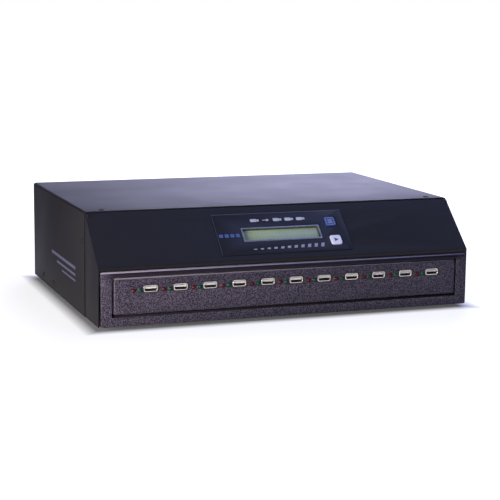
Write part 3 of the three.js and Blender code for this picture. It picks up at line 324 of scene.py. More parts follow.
def liquid_crystal_glass():
    """Reflective two-line character glass: grey-green, with rows of faint unlit character cells."""
    material, tree, shader, place = start_material("liquid_crystal_glass")
    turned = add_node(tree, "ShaderNodeMapping", {
        "Vector": place,
        "Location": SLOPE @ Vector((DISPLAY_X, DISPLAY_S, 0)),
        "Rotation": (SLOPE_ANGLE, 0, 0),
    }, vector_type="TEXTURE")
    # Cells twenty across and two up; the dots in them are too fine to show
    cell_width, cell_height, fade = 3.7 * MM, 5.95 * MM, 0.03
    cell = add_node(tree, "ShaderNodeVectorMath", {
        0: turned.outputs[0], 1: (1 / cell_width, 1 / cell_height, 1),
    }, operation="MULTIPLY")
    inside = split(tree, cell.outputs[0])
    masks = []
    for axis, filled in ((0, 0.78), (1, 0.84)):
        part = maths(tree, "FRACT", inside[axis])
        away = maths(tree, "ABSOLUTE", maths(tree, "SUBTRACT", part, 0.5))
        masks.append(spread(tree, away, filled / 2, filled / 2 - fade))
    faint = multiply(tree, multiply(tree, *masks), 0.16)
    haze = noise(tree, place, 22 * MM, 1.0)
    ground = blend_colours(
        tree, spread(tree, haze, 0.35, 0.65), linear("#9cb07e"), linear("#92a77a")
    )
    set_inputs(tree, shader, {
        "Base Color": blend_colours(tree, faint, ground, linear("#5f735f")),
        "Roughness": 0.45,
        "IOR": 1.5,
        "Coat Weight": 0.12,
        "Coat Roughness": 0.08,
    })
    return material


def epoxy_lens(name, hex_colour):
    """Cast epoxy of an unlit lamp: deep tinted body under a clear gloss."""
    material, tree, shader, place = start_material(name)
    murk = noise(tree, place, 1.2 * MM, 1.0)
    base = linear(hex_colour)
    deep = scaled(base, 0.55)
    set_inputs(tree, shader, {
        "Base Color": blend_colours(tree, spread(tree, murk, 0.3, 0.7), deep, base),
        "Roughness": 0.3,
        "IOR": 1.5,
        "Transmission Weight": 0.15,
        "Specular IOR Level": 0.3,
    })
    return material


def circuit_board():
    """Glass-epoxy board: green resist over copper tracks that show as slightly paler lines."""
    material, tree, shader, place = start_material("circuit_board")
    # Bricks 5 by 2.5 mm, so tracks about 0.6 mm wide run between them
    lanes = add_node(tree, "ShaderNodeTexBrick", {
        "Vector": place, "Scale": 1 / (10 * MM), "Mortar Size": 0.03, "Color1": (0, 0, 0, 1),
        "Color2": (0.25, 0.25, 0.25, 1), "Mortar": (1, 1, 1, 1),
    })
    set_inputs(tree, shader, {
        "Base Color": blend_colours(
            tree, lanes.outputs[0], linear("#175c34"), linear("#2c7d47")
        ),
        "Roughness": 0.35,
        "IOR": 1.5,
        "Normal": relief(tree, lanes.outputs[0], 0.03 * MM, 0.5),
    })
    return material


def ribbon_sheath():
    """Flat ribbon cable: grey, one groove for each wire 1.27 mm apart, with a red first wire."""
    material, tree, shader, place = start_material("ribbon_sheath")
    wire_pitch, first_wire = 1.27 * MM, 11.4 * MM
    across = split(tree, place)[0]
    ridge = maths(tree, "COSINE", multiply(tree, across, 2 * math.pi / wire_pitch))
    first = maths(tree, "LESS_THAN", across, middle_of("display_cable").x - first_wire)
    set_inputs(tree, shader, {
        "Base Color": blend_colours(tree, first, linear("#8d8e94"), linear("#9a2e30")),
        "Roughness": 0.55,
        "Normal": relief(tree, ridge, 0.2 * MM, 0.6),
    })
    return material


def braided_sheath():
    """Braided sleeve over the power leads: black polyester threads crossing at a slant."""
    material, tree, shader, place = start_material("braided_sheath")
    # Threads cross every 0.9 mm
    weave = add_node(tree, "ShaderNodeTexChecker", {"Vector": place, "Scale": 1 / (0.9 * MM)})
    set_inputs(tree, shader, {
        "Base Color": blend_colours(tree, weave.outputs[1], linear("#17171a"), linear("#2a2a2f")),
        "Roughness": 0.6,
        "Normal": relief(tree, weave.outputs[1], 0.1 * MM, 0.5),
    })
    return material


def moulded_rubber():
    """Moulded rubber: dull black, bloomed a little grey, with a soft grain."""
    material, tree, shader, place = start_material("moulded_rubber")
    bloom = noise(tree, place, 5 * MM, 3.0)
    grain = noise(tree, place, 0.5 * MM, 2.0)
    set_inputs(tree, shader, {
        "Base Color": blend_colours(
            tree, spread(tree, bloom, 0.4, 0.7), linear("#19191a"), linear("#2b2b2c")
        ),
        "Roughness": 0.85,
        "IOR": 1.5,
        "Normal": relief(tree, grain, 0.05 * MM, 0.6),
    })
    return material


def make_finishes():
    """All finishes by name; a metal ends in its roughness and its marks' depth in millimetres."""
    return {
        "coat": textured_powder_coat(),
        "speckle": speckled_powder_coat(),
        "film": printed_film(),
        "white_ink": screen_ink("white_screen_ink", "#c9cbd6"),
        "blue_ink": screen_ink("blue_screen_ink", "#3d5c96"),
        "silver_ink": screen_ink("silver_screen_ink", "#9fa0ae"),
        "dark_ink": screen_ink("dark_screen_ink", "#4a4d63"),
        "nickel": plated_metal("nickel_plated_shell", "#f2ece4", "#d8cec2", 0.22, 0.01),
        "frame_metal": plated_metal("anodised_frame", "#7f8387", "#6f7377", 0.45, 0.01),
        "zinc": plated_metal("zinc_plated_sheet", "#a4a8ac", "#878b90", 0.38, 0.02),
        "gold": plated_metal("gold_plated_contact", "#d9b25a", "#c39a45", 0.25, 0.01),
        "aluminium": plated_metal("extruded_aluminium", "#b9bbbd", "#a2a4a6", 0.35, 0.02),
        "ivory": moulded_plastic("white_insulator", "#eeeae6", 0.4),
        "black": moulded_plastic("black_nylon", "#17171a", 0.45),
        "blue_key": moulded_plastic("blue_keycap", "#164080", 0.42),
        "white_key": moulded_plastic("white_keycap", "#e6eaf0", 0.38),
        "glass": liquid_crystal_glass(),
        "red": epoxy_lens("red_epoxy_lens", "#6a1424"),
        "green": epoxy_lens("green_epoxy_lens", "#1a5a42"),
        "board": circuit_board(),
        "ribbon": ribbon_sheath(),
        "sheath": braided_sheath(),
        "rubber": moulded_rubber(),
    }


# The finishes by name, filled by the finishes operator
FINISH = {}


# Mesh helpers
def link_piece(name, mesh, node, finish=None):
    """Puts a finished mesh into the scene as a piece that rides with a CAD node's body."""
    piece = bpy.data.objects.new(name, mesh)
    bpy.context.scene.collection.objects.link(piece)
    if finish:
        mesh.materials.append(FINISH[finish])
    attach(piece, frame["nodes"][node]["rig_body"])
    return piece


def stand_in(name, mesh, node, finish):
    """Links a piece that takes a CAD node's place."""
    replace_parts(link_piece(name, mesh, node, finish), node)


def smooth(mesh, degrees=35):
    mesh.shade_smooth()
    mesh.set_sharp_from_angle(angle=math.radians(degrees))


def mesh_of(build, name, transform=None, degrees=35):
    """A mesh filled in by a function that is given a bmesh."""
    work = bmesh.new()
    build(work)
    bmesh.ops.remove_doubles(work, verts=work.verts, dist=1e-7)
    bmesh.ops.recalc_face_normals(work, faces=work.faces)
    mesh = bpy.data.meshes.new(name)
    work.to_mesh(mesh)
    work.free()
    if transform:
        mesh.transform(transform)
    smooth(mesh, degrees)
    return mesh


def with_edges_broken(mesh, width, segments=2, degrees=35):
    """The mesh with a small round on every sharp edge, its flat faces still shaded flat."""
    mesh.shade_smooth()
    holder = bpy.data.objects.new("edge_holder", mesh)
    bpy.context.scene.collection.objects.link(holder)
    bevel = holder.modifiers.new("broken_edges", "BEVEL")
    bevel.width = width
    bevel.segments = segments
    bevel.limit_method = "ANGLE"
    bevel.angle_limit = math.radians(degrees)
    bevel.use_clamp_overlap = False
    bevel.harden_normals = True
    evaluated = holder.evaluated_get(bpy.context.evaluated_depsgraph_get())
    made = bpy.data.meshes.new_from_object(evaluated)
    bpy.data.objects.remove(holder)
    return made


def merged_copy(node):
    """A copy of a CAD node's mesh with its triangles joined into plane faces."""
    work = bmesh.new()
    work.from_mesh(frame["nodes"][node].data)
    bmesh.ops.remove_doubles(work, verts=work.verts, dist=2e-6)
    bmesh.ops.dissolve_limit(
        work, angle_limit=math.radians(0.5), verts=work.verts, edges=work.edges
    )
    mesh = bpy.data.meshes.new(node + "_shape")
    work.to_mesh(mesh)
    work.free()
    return mesh


def dress(node, finishes, width, regions=(), segments=2):
    """Replaces a CAD node by its merged copy with broken edges.

    Each region is a finish's index and the two corners of the box whose faces it covers.
    """
    mesh = merged_copy(node)
    mesh.materials.clear()
    for finish in finishes:
        mesh.materials.append(FINISH[finish])
    for polygon in mesh.polygons:
        for index, low, high in regions:
            if all(low[i] <= polygon.center[i] <= high[i] for i in range(3)):
                polygon.material_index = index
    made = with_edges_broken(mesh, width, segments)
    stand_in(node + "_dressed", made, node, None)
    return made


def loft(work, rings, closed=False, capped=(0, -1)):
    """Skins rings of equal length; closed joins the last to the first, else ends are capped."""
    loops = [[work.verts.new(p) for p in points] for points in rings]
    count = len(loops[0])
    pairs = list(zip(loops, loops[1:]))
    if closed:
        pairs.append((loops[-1], loops[0]))
    for near, far in pairs:
        for i in range(count):
            j = (i + 1) % count
            work.faces.new((near[i], near[j], far[j], far[i]))
    if not closed:
        for end in capped:
            work.faces.new(loops[end])
    return loops


def circle(radius, count):
    """Points of a circle about the origin, counter-clockwise."""
    steps = [2 * math.pi * i / count for i in range(count)]
    return [(radius * math.cos(a), radius * math.sin(a)) for a in steps]


def rounded_edge(radius, fillet, steps):
    """Profile of a round edge, from the flat at height zero out to the given radius."""
    angles = [math.pi / 2 * step / steps for step in range(steps + 1)]
    return [
        (radius - fillet + fillet * math.sin(a), fillet * (1 - math.cos(a))) for a in angles
    ]


def lathe(work, profile, segments, turn=Matrix.Identity(4)):
    """Turns a (radius, height) profile about z; a radius of zero closes the shape."""
    loft(work, [
        [turn @ Vector((x, y, height)) for x, y in circle(radius, segments)]
        for radius, height in profile
    ])


def rounded_rectangle(width, height, radius, steps=5, at=(0, 0)):
    """Corner points, counter-clockwise, of a rectangle with round corners."""
    radius = min(radius, width / 2, height / 2)
    points = []
    for corner, (sx, sy) in enumerate(((1, 1), (-1, 1), (-1, -1), (1, -1))):
        cx = at[0] + sx * (width / 2 - radius)
        cy = at[1] + sy * (height / 2 - radius)
        for step in range(steps + 1):
            angle = math.pi / 2 * (corner + step / steps)
            points.append((cx + radius * math.cos(angle), cy + radius * math.sin(angle)))
    return points


def plate(work, outline, low, high):
    """A flat plate with the given outline between two heights."""
    loft(work, [[Vector((x, y, z)) for x, y in outline] for z in (low, high)])


def cuboid(work, low, high):
    corners = [(low[0], low[1]), (high[0], low[1]), (high[0], high[1]), (low[0], high[1])]
    plate(work, corners, low[2], high[2])


# Geometry Nodes trees
def start_tree(name, sockets):
    """A tree with a geometry output and the named inputs, given as (name, type, default)."""
    tree = bpy.data.node_groups.new(name, "GeometryNodeTree")
    tree.interface.new_socket("Geometry", in_out="OUTPUT", socket_type="NodeSocketGeometry")
    for label, kind, default in sockets:
        socket = tree.interface.new_socket(label, in_out="INPUT", socket_type=kind)
        if default is not None:
            socket.default_value = default
    source = add_node(tree, "NodeGroupInput")
    return tree, source.outputs


def end_tree(tree, geometry, finish):
    """Closes a tree: real geometry in one finish."""
    real = add_node(tree, "GeometryNodeRealizeInstances", {"Geometry": geometry})
    dressed = add_node(tree, "GeometryNodeSetMaterial", {
        "Geometry": real.outputs[0], "Material": finish,
    })
    add_node(tree, "NodeGroupOutput", {0: dressed.outputs[0]})


def row_tree():
    """Copies of a shape at an even pitch along x."""
    tree, given = start_tree("row_along_x", [
        ("Shape", "NodeSocketObject", None),
        ("Count", "NodeSocketInt", PORT_COUNT),
        ("Pitch", "NodeSocketFloat", PORT_PITCH),
        ("First place", "NodeSocketVector", None),
        ("Finish", "NodeSocketMaterial", None),
    ])
    step = add_node(tree, "ShaderNodeCombineXYZ", {0: given["Pitch"]})
    line = add_node(tree, "GeometryNodeMeshLine", {
        "Count": given["Count"], "Start Location": given["First place"], "Offset": step.outputs[0],
    })
    shape = add_node(tree, "GeometryNodeObjectInfo", {"Object": given["Shape"]})
    copies = add_node(tree, "GeometryNodeInstanceOnPoints", {
        "Points": line.outputs[0], "Instance": shape.outputs["Geometry"],
    })
    end_tree(tree, copies.outputs[0], given["Finish"])
    return tree


def fastener_tree():
    """Screw heads on points, each facing along the point's own direction, turned at random."""
    tree, given = start_tree("fasteners", [
        ("Geometry", "NodeSocketGeometry", None),
        ("Shape", "NodeSocketObject", None),
        ("Head diameter", "NodeSocketFloat", 5.6 * MM),
        ("Seed", "NodeSocketInt", 7),
        ("Finish", "NodeSocketMaterial", None),
    ])
    facing = add_node(tree, "GeometryNodeInputNamedAttribute", {
        "Name": "facing",
    }, data_type="FLOAT_VECTOR")
    upright = add_node(tree, "FunctionNodeAlignRotationToVector", {
        "Vector": facing.outputs[0],
    }, axis="Z")
    turn = add_node(tree, "FunctionNodeRandomValue", {
        "Min": 0.0, "Max": 2 * math.pi, "Seed": given["Seed"],
    }, data_type="FLOAT")
    angle = next(o for o in turn.outputs if o.enabled)
    spin = add_node(tree, "FunctionNodeAxisAngleToRotation", {"Axis": (0, 0, 1), "Angle": angle})
    both = add_node(tree, "FunctionNodeRotateRotation", {
        "Rotation": upright.outputs[0], "Rotate By": spin.outputs[0],
    }, rotation_space="LOCAL")
    shape = add_node(tree, "GeometryNodeObjectInfo", {"Object": given["Shape"]})
    copies = add_node(tree, "GeometryNodeInstanceOnPoints", {
        "Points": given["Geometry"],
        "Instance": shape.outputs["Geometry"],
        "Rotation": both.outputs[0],
        "Scale": given["Head diameter"],
    })
    end_tree(tree, copies.outputs[0], given["Finish"])
    return tree


def guard_tree():
    """Finger guard: rings of wire on two crossed wires that end in screw eyes, facing +y."""
    tree, given = start_tree("finger_guard", [
        ("Rings", "NodeSocketInt", 5),
        ("Inner radius", "NodeSocketFloat", 8 * MM),
        ("Outer radius", "NodeSocketFloat", 36 * MM),
        ("Wire radius", "NodeSocketFloat", 0.8 * MM),
        ("Screw pitch", "NodeSocketFloat", FAN_SCREW_PITCH),
        ("Eye radius", "NodeSocketFloat", 3 * MM),
        ("Place", "NodeSocketVector", None),
        ("Finish", "NodeSocketMaterial", None),
    ])
    # The rings: circles of growing size, laid over the two crossed wires
    index = add_node(tree, "GeometryNodeInputIndex").outputs[0]
    gaps = maths(tree, "SUBTRACT", given["Rings"], 1.0)
    width = maths(tree, "SUBTRACT", given["Outer radius"], given["Inner radius"])
    further = multiply(tree, maths(tree, "DIVIDE", width, gaps), index)
    radius = maths(tree, "ADD", given["Inner radius"], further)
    size = add_node(tree, "ShaderNodeCombineXYZ", {0: radius, 1: radius, 2: 1.0})
    centres = add_node(tree, "GeometryNodeMeshLine", {"Count": given["Rings"], "Offset": (0, 0, 0)})
    unit_circle = add_node(tree, "GeometryNodeCurvePrimitiveCircle", {
        "Resolution": 64, "Radius": 1.0,
    })
    rings = add_node(tree, "GeometryNodeInstanceOnPoints", {
        "Points": centres.outputs[0], "Instance": unit_circle.outputs[0], "Scale": size.outputs[0],
    })
    # The wires are welded a little into each other, so 1.9 radii apart
    lift = add_node(tree, "ShaderNodeCombineXYZ", {2: multiply(tree, given["Wire radius"], 1.9)})
    raised = add_node(tree, "GeometryNodeTransform", {
        "Geometry": rings.outputs[0], "Translation": lift.outputs[0],
    })
    half_diagonal = multiply(tree, given["Screw pitch"], math.sqrt(0.5))
    reach = maths(tree, "SUBTRACT", half_diagonal, given["Eye radius"])
    start = add_node(tree, "ShaderNodeCombineXYZ", {0: multiply(tree, reach, -1.0)})
    end = add_node(tree, "ShaderNodeCombineXYZ", {0: reach})
    line = add_node(tree, "GeometryNodeCurvePrimitiveLine", {
        "Start": start.outputs[0], "End": end.outputs[0],
    })
    two = add_node(tree, "GeometryNodeMeshLine", {"Count": 2, "Offset": (0, 0, 0)})
    diagonal = maths(tree, "ADD", multiply(tree, index, math.pi / 2), math.pi / 4)
    turned = add_node(tree, "FunctionNodeAxisAngleToRotation", {
        "Axis": (0, 0, 1), "Angle": diagonal,
    })
    spokes = add_node(tree, "GeometryNodeInstanceOnPoints", {
        "Points": two.outputs[0], "Instance": line.outputs[0], "Rotation": turned.outputs[0],
    })
    corners = add_node(tree, "GeometryNodeMeshCircle", {"Vertices": 4, "Radius": half_diagonal})
    square = add_node(tree, "GeometryNodeTransform", {
        "Geometry": corners.outputs[0], "Rotation": (0, 0, math.pi / 4),
    })
    eye = add_node(tree, "GeometryNodeCurvePrimitiveCircle", {
        "Resolution": 24, "Radius": given["Eye radius"],
    })
    eyes = add_node(tree, "GeometryNodeInstanceOnPoints", {
        "Points": square.outputs[0], "Instance": eye.outputs[0],
    })
    joined = add_node(tree, "GeometryNodeJoinGeometry")
    for part in (raised, spokes, eyes):
        tree.links.new(part.outputs[0], joined.inputs[0])
    wires = add_node(tree, "GeometryNodeRealizeInstances", {"Geometry": joined.outputs[0]})
    profile = add_node(tree, "GeometryNodeCurvePrimitiveCircle", {
        "Resolution": 12, "Radius": given["Wire radius"],
    })
    solid = add_node(tree, "GeometryNodeCurveToMesh", {
        "Curve": wires.outputs[0], "Profile Curve": profile.outputs[0], "Fill Caps": True,
    })
    upright = add_node(tree, "GeometryNodeTransform", {
        "Geometry": solid.outputs[0],
        "Rotation": (-math.pi / 2, 0, 0),
        "Translation": given["Place"],
    })
    end_tree(tree, upright.outputs[0], given["Finish"])
    return tree


# The node trees by name, filled by the finishes operator
TREES = {}


def grow(tree_name, values, base=None):
    """Runs a tree with the given named inputs and returns its plain mesh."""
    tree = TREES[tree_name]
    holder = bpy.data.objects.new("tree_holder", base or bpy.data.meshes.new("tree_base"))
    bpy.context.scene.collection.objects.link(holder)
    modifier = holder.modifiers.new("tree", "NODES")
    modifier.node_group = tree
    for item in tree.interface.items_tree:
        if item.item_type == "SOCKET" and item.in_out == "INPUT" and item.name in values:
            modifier[item.identifier] = values[item.name]
    evaluated = holder.evaluated_get(bpy.context.evaluated_depsgraph_get())
    mesh = bpy.data.meshes.new_from_object(evaluated)
    holder.modifiers.clear()
    bpy.data.objects.remove(holder)
    return mesh


def row_piece(name, shape_mesh, first, finish, nodes=()):
    """One piece of copies along the socket row, which stands for the given CAD nodes."""
    shape = bpy.data.objects.new(name + "_shape", shape_mesh)
    bpy.context.scene.collection.objects.link(shape)
    mesh = grow("row", {
        "Shape": shape, "Count": PORT_COUNT, "Pitch": PORT_PITCH,
        "First place": first, "Finish": FINISH[finish],
    })
    bpy.data.objects.remove(shape)
    piece = link_piece(name, mesh, "port_panel")
    if nodes:
        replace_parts(piece, *nodes)


# Sizes and colours that a user would change
class FinishSettings(bpy.types.PropertyGroup):
    """Colours of the two powder coats."""

    coat_colour: FloatVectorProperty(
        name="Case coat", description="Colour of the case's powder coat", subtype="COLOR",
        size=3, min=0, max=1, default=linear("#101014")[:3],
    )
    speckle_ground: FloatVectorProperty(
        name="Speckle ground", description="Dark ground of the front's speckled coat",
        subtype="COLOR", size=3, min=0, max=1, default=linear("#1d1a20")[:3],
    )
    speckle_colour: FloatVectorProperty(
        name="Speckle", description="Pale specks of the front's coat", subtype="COLOR",
        size=3, min=0, max=1, default=linear("#6e6a7c")[:3],
    )


class SocketSettings(bpy.types.PropertyGroup):
    """Sizes of a USB type A socket's mouth."""

    width: FloatProperty(
        name="Shell width", description="Outer width of the shell", unit="LENGTH",
        min=0.001, default=13.1 * MM,
    )
    height: FloatProperty(
        name="Shell height", description="Outer height of the shell", unit="LENGTH",
        min=0.001, default=5.7 * MM,
    )
    wall: FloatProperty(
        name="Shell wall", description="Thickness of the drawn shell", unit="LENGTH",
        min=0.0001, default=0.35 * MM,
    )
    flare: FloatProperty(
        name="Lip flare", description="How far the lip spreads on each side", unit="LENGTH",
        min=0, default=0.65 * MM,
    )
    contacts: IntProperty(
        name="Contacts", description="Number of contact strips", min=1, default=4,
    )


class FastenerSettings(bpy.types.PropertyGroup):
    """Sizes of the screws."""

    case_head: FloatProperty(
        name="Case screw head", description="Head diameter of the case's screws", unit="LENGTH",
        min=0.001, default=5.6 * MM,
    )
    small_head: FloatProperty(
        name="Small screw head", description="Head diameter of the rear's small screws",
        unit="LENGTH", min=0.001, default=5.2 * MM,
    )


class StageSettings(bpy.types.PropertyGroup):
    """Camera and light."""

    camera_place: FloatVectorProperty(
        name="Camera place", description="Where the camera stands", subtype="TRANSLATION",
        unit="LENGTH", size=3, default=(-0.5208, HOOD_LOW.y - 1.2908, 0.3096),
    )
    yaw: FloatProperty(
        name="Yaw", description="Turn of the camera towards +X", unit="ROTATION",
        default=math.radians(20.30),
    )
    pitch: FloatProperty(
        name="Pitch", description="How far the camera looks down", unit="ROTATION",
        default=math.radians(9.81),
    )
    roll: FloatProperty(
        name="Roll", description="Turn of the picture about its middle", unit="ROTATION",
        default=math.radians(0.64),
    )
    lens: FloatProperty(
        name="Focal length", description="In millimetres, on a 36 mm sensor",
        min=1, default=102.83,
    )
    ambient: FloatProperty(
        name="Ambient", description="Strength of the light from all round", min=0, default=0.05,
    )
    key: FloatProperty(
        name="Key lamp", description="Power of the softbox at the front left, in watts",
        min=0, default=13.5,
    )
    back: FloatProperty(
        name="Back lamp", description="Power of the softbox behind, in watts", min=0, default=95,
    )
    strip: FloatProperty(
        name="Strip lamp", description="Power of the narrow lamp over the camera, in watts",
        min=0, default=1.8,
    )
    top: FloatProperty(
        name="Top lamp", description="Power of the softbox overhead, in watts", min=0, default=10,
    )


class DuplicatorOperator:
    """What all the operators share."""

    bl_options = {"REGISTER", "UNDO"}


class DUPLICATOR_OT_stage(DuplicatorOperator, bpy.types.Operator):
    """Makes the camera, the lamps, the world and the pale floor"""

    bl_idname = "duplicator.stage"
    bl_label = "Stage"

    def execute(self, context):
        stage = context.scene.duplicator_stage
        self.make_camera(context, stage)
        self.make_world(context, stage)
        self.make_lamps(context, stage)
        self.make_floor(context)
        context.scene.view_settings.view_transform = "Standard"
        return {"FINISHED"}

    def make_camera(self, context, stage):
        """The photograph's camera, as solved from the case's edges."""
        camera = bpy.data.objects.new("camera", bpy.data.cameras.new("camera"))
        context.scene.collection.objects.link(camera)
        flat = math.cos(stage.pitch)
        ahead = Vector((
            math.sin(stage.yaw) * flat, math.cos(stage.yaw) * flat, -math.sin(stage.pitch),
        ))
        right = Vector((math.cos(stage.yaw), -math.sin(stage.yaw), 0))
        up = right.cross(ahead)
        side = math.cos(stage.roll) * right + math.sin(stage.roll) * up
        top = math.cos(stage.roll) * up - math.sin(stage.roll) * right
        turn = Matrix((side, top, -ahead)).transposed().to_4x4()
        camera.matrix_world = Matrix.Translation(stage.camera_place) @ turn
        camera.data.sensor_width = 36
        camera.data.lens = stage.lens
        camera.data.clip_start = 0.01
        camera.data.clip_end = 20
        context.scene.camera = camera

    def looked_at(self, tree, paths, mirrored):
        """One for the rays that see a backdrop: from the camera, by mirror and through glass."""
        seen = maths(tree, "MAXIMUM", paths["Is Camera Ray"], mirrored)
        return maths(tree, "MAXIMUM", seen, paths["Is Transmission Ray"])

    def make_world(self, context, stage):
        """White to the camera, faint and even to matt faces, and a dim studio to shiny ones."""
        world = bpy.data.worlds.new("studio")
        context.scene.world = world
        world.use_nodes = True
        tree = world.node_tree
        tree.nodes.clear()
        paths = add_node(tree, "ShaderNodeLightPath").outputs
        shown = self.looked_at(tree, paths, paths["Is Glossy Ray"])
        # Overhead the studio is dim, and behind the case too save at the right, so that faces
        # which mirror those parts stay dark
        direction = add_node(tree, "ShaderNodeTexCoord").outputs["Generated"]
        towards = split(tree, direction)
        ceiling = spread(tree, towards[2], -0.05, 0.35, 1.0, 0.05)
        back_wall = spread(tree, towards[0], 0.2, 0.7, 0.02, 0.55)
        behind = spread(tree, towards[1], -0.5, 0.2)
        mirrored = multiply(tree, ceiling, blend_values(tree, behind, 1.0, back_wall))
        backdrop = blend_values(tree, paths["Is Camera Ray"], mirrored, 1.0)
        strength = blend_values(tree, shown, stage.ambient, backdrop)
        tint = blend_colours(tree, shown, linear("#dde1ff"), (1, 1, 1, 1))
        glow = add_node(tree, "ShaderNodeBackground", {0: tint, 1: strength})
        add_node(tree, "ShaderNodeOutputWorld", {0: glow.outputs[0]})

    def make_lamps(self, context, stage):
        """Four softboxes, each aimed at a point on the case."""
        front_left = Vector((HOOD_LOW.x, HOOD_LOW.y, PLATE_TOP))
        middle = Vector((0, 0, COVER_HIGH.z))
        # Name, power, place, aim, size and colour; the front lamp stands close, so that its light
        # fades along the front from left to right
        lamps = (
            ("front_softbox", stage.key, (-0.82, -0.43, 0.09), front_left, (0.5, 0.3), "#fff2f0"),
            ("back_softbox", stage.back, (1.12, 2.05, 1.35), middle, (1.4, 0.6), "#d5d5fc"),
            ("front_strip", stage.strip, (0.45, -1.7, 0.95), front_left, (0.6, 0.2), "#dfe4ff"),
            ("top_softbox", stage.top, (0.55, -0.1, 1.2), middle, (0.9, 0.9), "#aebcff"),
        )
        for name, power, place, aim, size, colour in lamps:
            data = bpy.data.lights.new(name, "AREA")
            data.shape = "RECTANGLE"
            data.size, data.size_y = size
            data.energy = power
            data.color = linear(colour)[:3]
            lamp = bpy.data.objects.new(name, data)
            context.scene.collection.objects.link(lamp)
            lamp.location = place
            lamp.rotation_mode = "QUATERNION"
            lamp.rotation_quaternion = (aim - Vector(place)).to_track_quat("-Z", "Y")

    def make_floor(self, context):
        """A matt floor that glows white to the camera, save near the case, where the held-back glow
        is a painted shadow.
        """
        material = bpy.data.materials.new("pale_floor")
        material.use_nodes = True
        tree = material.node_tree
        tree.nodes.clear()
        place = add_node(tree, "ShaderNodeTexCoord").outputs["Object"]
        grain = noise(tree, place, 6 * MM, 2.0)
        matt = add_node(tree, "ShaderNodeBsdfDiffuse", {
            0: blend_colours(tree, grain, linear("#84868f"), linear("#8c8e97")),
        })
        # The glow grows with the distance from the case's footprint, first fast and then slowly, so
        # the dim glow near the footprint is a painted shadow
        at = split(tree, place)
        past = [
            maths(tree, "SUBTRACT", maths(tree, "ABSOLUTE", at[axis]), half)
            for axis, half in ((0, HOOD_HIGH.x), (1, COVER_HIGH.y))
        ]
        off = maths(tree, "MAXIMUM", *past)
        near = spread(tree, off, 0.0, 16 * MM, 0.08, 0.82)
        far = spread(tree, off, 30 * MM, 250 * MM, 0.0, 0.3)
        # A dark flag stands left of the case, so its left side mirrors little light
        flag_width = 80 * MM
        flag = spread(tree, at[0], HOOD_LOW.x - flag_width, HOOD_LOW.x, 0.03, 1.0)
        paths = add_node(tree, "ShaderNodeLightPath").outputs
        shown = self.looked_at(tree, paths, multiply(tree, paths["Is Glossy Ray"], flag))
        strength = multiply(tree, shown, maths(tree, "ADD", near, far))
        glow = add_node(tree, "ShaderNodeEmission", {0: (1, 1, 1, 1), 1: strength})
        both = add_node(tree, "ShaderNodeAddShader", {0: matt.outputs[0], 1: glow.outputs[0]})
        # From below, the floor lets the camera see the case's underside
        below = add_node(tree, "ShaderNodeNewGeometry").outputs["Backfacing"]
        clear = add_node(tree, "ShaderNodeBsdfTransparent")
        sided = add_node(tree, "ShaderNodeMixShader", {
            0: multiply(tree, below, paths["Is Camera Ray"]),
            1: both.outputs[0],
            2: clear.outputs[0],
        })
        add_node(tree, "ShaderNodeOutputMaterial", {"Surface": sided.outputs[0]})
        reach = 6.0

        def build(work):
            corners = ((-reach, -reach), (reach, -reach), (reach, reach), (-reach, reach))
            work.faces.new([work.verts.new((x, y, 0)) for x, y in corners])

        mesh = mesh_of(build, "floor")
        mesh.materials.append(material)
        floor = bpy.data.objects.new("floor", mesh)
        context.scene.collection.objects.link(floor)


class DUPLICATOR_OT_finishes(DuplicatorOperator, bpy.types.Operator):
    """Makes the finishes and the node trees that the pieces use"""

    bl_idname = "duplicator.finishes"
    bl_label = "Finishes"

    def execute(self, context):
        FINISH.update(make_finishes())
        TREES.update(row=row_tree(), fasteners=fastener_tree(), guard=guard_tree())
        return {"FINISHED"}


class DUPLICATOR_OT_case(DuplicatorOperator, bpy.types.Operator):
    """Dresses the folded sheets of the case, the front plate and the socket panel"""

    bl_idname = "duplicator.case"
    bl_label = "Case"

    def execute(self, context):
        for node in ("front_hood", "base_pan"):
            dress(node, ["coat"], 0.2 * MM)
        self.spread_sides(dress("top_cover", ["coat"], 0.2 * MM))
        for node in ("front_plate", "port_panel"):
            dress(node, ["speckle"], 0.2 * MM)
        return {"FINISHED"}

    def spread_sides(self, mesh):
        """The cover's sides lie over the hood's cheeks, and stand proud of them by their step."""
        side_sheet = 1.1 * MM
        for vertex in mesh.vertices:
            past = abs(vertex.co.x) - (COVER_HIGH.x - side_sheet)
            if past > 0:
                vertex.co.x += math.copysign(COVER_STEP * past / side_sheet, vertex.co.x)


